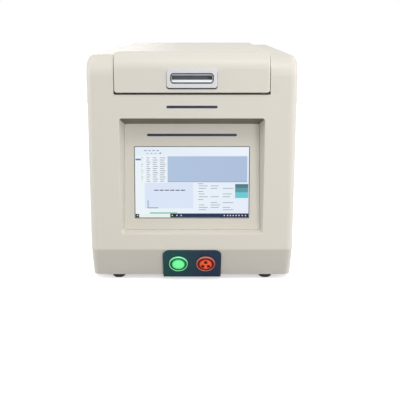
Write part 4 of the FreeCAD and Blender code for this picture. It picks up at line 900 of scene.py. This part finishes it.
class ANALYSER_OT_buttons(AnalyserOperator):
    """Make the two lit buttons and finish the plate that carries them, with their glow painted on it"""

    bl_idname = "analyser.buttons"
    bl_label = "Buttons"

    def execute(self, context):
        colours = chosen()[0]
        # Blue-black anodised plate: satin metal, with the glow of the lit buttons painted on as a teal tone
        # near the power button that fades to blue towards the x-ray button
        plate = surface("Blue-black anodised plate, painted glow", tuple(colours.plate), 0.42, 0.9, 0.006, swing=0.10,
                        IOR=1.5, patch=25.0, second=(linear("142C48"), plate_painted_glow),
                        **{"Specular IOR Level": 0.22})
        dress(plate, "button_plate")
        self.button("power", -BUTTON_SIDE, tuple(colours.power), linear("0F7A46"), linear("8FF5B8"), 0.42)
        self.button("xray", BUTTON_SIDE, tuple(colours.x_ray), linear("7A1C0A"), linear("C97A66"), 0.40)
        spread = 6.5
        dies = []
        for step in range(3):
            angle = math.radians(90 + 120 * step)
            die = turned("die", ((3.5, 7.6), (3.5, 9.3), (3.1, 9.6), (0.4, 9.7)), 28)
            apply_place(die, Matrix.Translation((spread * MM * math.cos(angle),
                                                 spread * MM * math.sin(angle), 0)))
            dies.append(die)
        cluster = joined("xray_dies", dies)
        apply_place(cluster, plate_place(BUTTON_SIDE))
        smooth(cluster)
        # Dark glass over the light-emitting dies: a dull deep red
        dark = surface("Dark die glass", linear("4A0E05"), 0.4, 1.0, swing=0.2, IOR=1.5,
                       **{"Specular IOR Level": 0.15})
        settle(cluster, "xray_button", dark)
        return {"FINISHED"}

    @staticmethod
    def button(label, x, bright, deep, pale, strength):
        """The domed lens, the tinted throat round it and the lit rim of one button."""
        rise = chosen()[1].lens_rise / MM
        place = plate_place(x)
        # Each profile runs from the back to the front, and the lens is domed from this height on
        dome = 7.6
        lens = turned(label + "_lens", ((5.9, -13.5), (5.9, 2.2), (12.9, 2.4), (12.9, 6.6), (12.6, 7.2),
                                        (11.6, dome), (9.5, dome + 0.45 * rise), (6.5, dome + 0.78 * rise),
                                        (3.2, dome + 0.95 * rise), (0.5, dome + rise)))
        apply_place(lens, place)
        smooth(lens, 50)
        middle = place @ Vector((0, 0, 8.0 * MM))
        glow = tuple(min(1.0, c * 1.08 + 0.01) for c in bright)
        finish = lens_finish("Lit lens " + label, ((0.0, glow), (0.75, bright), (1.0, deep)), middle,
                             radius=13.5, strength=strength)
        settle(lens, label + "_button", finish, (label + "_cap",))
        throat = turned(label + "_throat", ((13.3, -12.0), (14.95, -12.0), (14.95, 4.1), (16.9, 4.1),
                                            (16.9, 6.6), (15.2, 6.2), (13.9, 5.0), (13.3, 4.8)), closed=True)
        apply_place(throat, place)
        smooth(throat)
        inner = surface("Tinted throat " + label, deep, 0.35, 1.5, 0.01, swing=0.1, IOR=1.5,
                        **{"Specular IOR Level": 0.2})
        settle(throat, "casing", inner, (label + "_bezel",))
        rim = turned(label + "_rim", ((16.9, 4.1), (18.5, 4.1), (18.5, 6.0), (18.2, 7.0), (17.7, 7.5),
                                      (17.2, 7.3), (16.9, 6.6)), closed=True)
        apply_place(rim, place)
        smooth(rim, 60)
        glowing = lens_finish("Lit rim " + label, ((0.0, pale), (0.9, pale), (1.0, pale)), middle,
                              radius=18.5, strength=0.45 * strength)
        settle(rim, "casing", glowing)


# Middles across and up, and half sizes, of the openings in the port block
DATA_PORTS = ((32.5, 127.0), (32.5, 142.0))
DATA_PORT_HALF = (6.5, 3.0)
DATA_PITCH = 2.4
NETWORK_PORT = (62.0, 133.0)
NETWORK_PORT_HALF = (8.0, 7.0)
NETWORK_PITCH = 1.02
NETWORK_SLOPE = 14.0
PORT_FACE = 271.0
# Middle of the fan wheel across, to the rear and up
FAN_MIDDLE = (-80.0, 256.5, 230.0)
FAN_BLADES = 7


class ANALYSER_OT_rear(AnalyserOperator):
    """Finish the mains rocker, fill the ports with shells and contacts, and make the fan wheel"""

    bl_idname = "analyser.rear"
    bl_label = "Rear wall fittings"

    def execute(self, context):
        # Moulded red polycarbonate: smooth and glossy
        red = surface("Moulded red polycarbonate", linear("B42A20"), 0.22, 2.0, 0.004, swing=0.06, IOR=1.58)
        dress(red, "mains_rocker")
        # Gold-flashed phosphor bronze of the contacts: warm and bright
        gold = surface("Gold-flashed contacts", linear("E2BE6A"), 0.24, 0.6, 0.002, swing=0.06, Metallic=1.0)
        openings = [(DATA_PORT_HALF, place) for place in DATA_PORTS] + [(NETWORK_PORT_HALF, NETWORK_PORT)]
        shells = [rounded_ring("shell", *half, place, front=PORT_FACE - 11.5, thick=11.9, corner=0.8,
                               width=0.4, segments=4) for half, place in openings]
        tongues = []
        contacts = []
        for across, up in DATA_PORTS:
            tongues.append(rounded_plate("tongue", 5.0, 0.9, (across, up + 0.9), front=PORT_FACE - 11.8,
                                         thick=9.0, corner=0.3))
            for step in range(4):
                place = (across + DATA_PITCH * (step - 1.5), up - 0.1)
                contacts.append(rounded_plate("contact", 0.5, 0.12, place, front=PORT_FACE - 11.0, thick=8.0))
        # The wires of the network port slope down from its roof
        across, up = NETWORK_PORT[0], NETWORK_PORT[1] + 4.6
        front = PORT_FACE - 11.4
        slope = Matrix.Rotation(math.radians(NETWORK_SLOPE), 4, "X")
        root = Matrix.Translation((0, front * MM, up * MM))
        for step in range(8):
            wire = rounded_plate("contact", 0.22, 0.22, (across + NETWORK_PITCH * (step - 3.5), up), front,
                                 thick=10.0)
            apply_place(wire, root @ slope.inverted() @ root.inverted())
            contacts.append(wire)
        settle(joined("port_shells", shells), "casing", plated_steel())
        settle(joined("port_tongues", tongues), "casing", black_nylon())
        settle(joined("port_contacts", contacts), "casing", gold)
        self.fan()
        return {"FINISHED"}

    @staticmethod
    def blade():
        """One fan blade about the Y axis, drawn out from the hub in steps that turn and widen it."""
        # Where it leaves the hub, the length and number of its steps, and how far it is turned
        root, reach, steps, tilt = 17.5, 6.0, 6, 52.0
        blade = front_plane("blade", 8.6, 0.75, (0, root), 0.0)
        edit(blade)
        foot = (0, 0, root * MM)
        bpy.ops.transform.rotate(value=math.pi / 2, orient_axis="X", center_override=foot)
        bpy.ops.transform.rotate(value=math.radians(tilt), orient_axis="Z", center_override=foot)
        for step in range(1, steps + 1):
            extrude(0, 0, reach)
            middle = (0, 0, (root + reach * step) * MM)
            bpy.ops.transform.resize(value=(1.09, 1.03, 1.0), center_override=middle)
            bpy.ops.transform.rotate(value=math.radians(-3.5), orient_axis="Z", center_override=middle)
            bpy.ops.transform.rotate(value=math.radians(2.6), orient_axis="Y", center_override=(0, 0, 0))
        leave_edit()
        outward(blade)
        return blade

    def fan(self):
        """The fan's hub and swept blades, which stand for its plain rotor."""
        first = self.blade()
        pieces = [first]
        for step in range(1, FAN_BLADES):
            deselect()
            other = first.copy()
            other.data = first.data.copy()
            bpy.context.collection.objects.link(other)
            apply_place(other, Matrix.Rotation(2 * math.pi * step / FAN_BLADES, 4, "Y"))
            pieces.append(other)
        hub = turned("hub", ((2.1, 2.4), (2.1, -9.4), (18.2, -9.4), (19.0, -8.6), (19.0, 8.0), (18.4, 9.0),
                             (17.2, 9.4), (16.0, 9.4), (15.4, 8.9), (1.0, 8.9)), 64)
        apply_place(hub, Matrix.Rotation(math.radians(-90), 4, "X"))
        pieces.append(hub)
        rotor = joined("fan_wheel", pieces)
        apply_place(rotor, Matrix.Translation(Vector(FAN_MIDDLE) * MM))
        smooth(rotor, 40)
        settle(rotor, "fan", black_nylon(), ("fan_rotor",))


# Name, place and width in metres, and power in watts, of each round lamp, and the point at which they aim
LAMPS = (
    ("key", (1.22, -2.90, 1.03), 1.3, 24.0),
    ("front_top", (0.40, -1.50, 2.30), 0.9, 13.0),
    ("left", (-2.55, -0.30, 0.70), 1.5, 22.0),
    ("right", (2.55, -0.30, 0.70), 1.5, 18.0),
    ("rear", (-0.60, 2.90, 0.20), 1.2, 26.0),
)
AIM = (0, 0, 0.22)
# How bright the floor and the sky are for light that falls on the object, where 1 is white
FLOOR_LEVEL = 0.36
SKY_LEVEL = 0.66
# What the floor adds of its own light where the camera sees it, so that it looks white
FLOOR_GLOW = 0.50


def seen_rays(tree):
    """1 for what the camera sees, also in a mirroring surface, and 0 for light that falls on the object."""
    rays = add_node(tree, "ShaderNodeLightPath")
    return add_node(tree, "ShaderNodeMath", {"operation": "MAXIMUM"},
                    {0: rays.outputs["Is Camera Ray"], 1: rays.outputs["Is Glossy Ray"]}).outputs[0]


class ANALYSER_OT_stage(AnalyserOperator):
    """Set the pale floor, the soft lights and the camera"""

    bl_idname = "analyser.stage"
    bl_label = "Floor, lights and camera"

    def execute(self, context):
        self.floor()
        self.world()
        for lamp in LAMPS:
            self.lamp(*lamp)
        self.camera()
        return {"FINISHED"}

    @staticmethod
    def floor():
        deselect()
        bpy.ops.mesh.primitive_plane_add(size=30.0, location=(0, 0, 0))
        floor = named("stage_floor")
        apply_place(floor)
        # Matt white paper: it looks white to the camera and keeps the object's shadow
        material, tree = fresh("White studio floor")
        place = add_node(tree, "ShaderNodeTexCoord").outputs["Object"]
        cloud = add_node(tree, "ShaderNodeTexNoise", {"Scale": 0.8}, {"Vector": place}).outputs[0]
        tint = add_node(tree, "ShaderNodeMix",
                        {"data_type": "RGBA", 6: (0.90, 0.90, 0.90, 1), 7: (0.93, 0.93, 0.93, 1)},
                        {0: cloud}).outputs[2]
        seen = seen_rays(tree)
        level = add_node(tree, "ShaderNodeMapRange", {"To Min": FLOOR_LEVEL, "To Max": 1.0},
                         {"Value": seen}).outputs[0]
        toned = add_node(tree, "ShaderNodeVectorMath", {"operation": "SCALE"},
                         {0: tint, "Scale": level}).outputs[0]
        paper = add_node(tree, "ShaderNodeBsdfPrincipled", {"Roughness": 0.9},
                         {"Base Color": toned}).outputs[0]
        lift = add_node(tree, "ShaderNodeMath", {"operation": "MULTIPLY", 1: FLOOR_GLOW},
                        {0: seen}).outputs[0]
        glow = add_node(tree, "ShaderNodeEmission", None, {"Strength": lift}).outputs[0]
        both = add_node(tree, "ShaderNodeAddShader", None, {0: paper, 1: glow}).outputs[0]
        add_node(tree, "ShaderNodeOutputMaterial", None, {"Surface": both})
        floor.data.materials.append(material)

    @staticmethod
    def world():
        world = bpy.data.worlds.new("Studio")
        bpy.context.scene.world = world
        world.use_nodes = True
        tree = world.node_tree
        tree.nodes.clear()
        strength = add_node(tree, "ShaderNodeMapRange", {"To Min": SKY_LEVEL, "To Max": 1.0},
                            {"Value": seen_rays(tree)}).outputs[0]
        light = add_node(tree, "ShaderNodeBackground", {"Color": (1, 1, 1, 1)},
                         {"Strength": strength}).outputs[0]
        add_node(tree, "ShaderNodeOutputWorld", None, {"Surface": light})

    @staticmethod
    def lamp(name, place, size, power):
        deselect()
        bpy.ops.object.light_add(type="AREA", location=place)
        lamp = bpy.context.active_object
        lamp.name = "lamp_" + name
        lamp.data.shape = "DISK"
        lamp.data.size = size
        lamp.data.energy = power
        aim = Vector(AIM) - Vector(place)
        lamp.rotation_euler = aim.to_track_quat("-Z", "Y").to_euler()

    @staticmethod
    def camera():
        deselect()
        bpy.ops.object.camera_add(location=(0, -1.7118, 0.5164), rotation=(math.radians(76.5), 0, 0))
        camera = bpy.context.active_object
        camera.name = "camera"
        camera.data.sensor_width = 36.0
        camera.data.lens = 69.39
        camera.data.shift_x = 0.02
        bpy.context.scene.camera = camera


STEPS = (ANALYSER_OT_casing, ANALYSER_OT_metalwork, ANALYSER_OT_optics, ANALYSER_OT_display,
         ANALYSER_OT_accents, ANALYSER_OT_handle, ANALYSER_OT_buttons, ANALYSER_OT_rear, ANALYSER_OT_stage)


class ANALYSER_PT_sidebar(Panel):
    """Steps, colours and sizes of the analyser"""

    bl_idname = "ANALYSER_PT_sidebar"
    bl_label = "X-ray fluorescence analyser"
    bl_space_type = "VIEW_3D"
    bl_region_type = "UI"
    bl_category = "Analyser"

    def draw(self, context):
        for step in STEPS:
            self.layout.operator(step.bl_idname)
        for group in (context.scene.analyser_colours, context.scene.analyser_sizes):
            box = self.layout.box()
            for key in group.__annotations__:
                box.prop(group, key)


CLASSES = (AnalyserColours, AnalyserSizes) + STEPS + (ANALYSER_PT_sidebar,)


def register():
    for kind in CLASSES:
        bpy.utils.register_class(kind)
    bpy.types.Scene.analyser_colours = PointerProperty(type=AnalyserColours)
    bpy.types.Scene.analyser_sizes = PointerProperty(type=AnalyserSizes)


def unregister():
    del bpy.types.Scene.analyser_sizes
    del bpy.types.Scene.analyser_colours
    for kind in reversed(CLASSES):
        bpy.utils.unregister_class(kind)


def main():
    register()
    bpy.context.scene.view_settings.view_transform = "Standard"
    bpy.ops.analyser.casing()
    bpy.ops.analyser.metalwork()
    bpy.ops.analyser.optics()
    bpy.ops.analyser.display()
    bpy.ops.analyser.accents()
    bpy.ops.analyser.handle()
    bpy.ops.analyser.buttons()
    bpy.ops.analyser.rear()
    bpy.ops.analyser.stage()


if __name__ == "__main__":
    main()
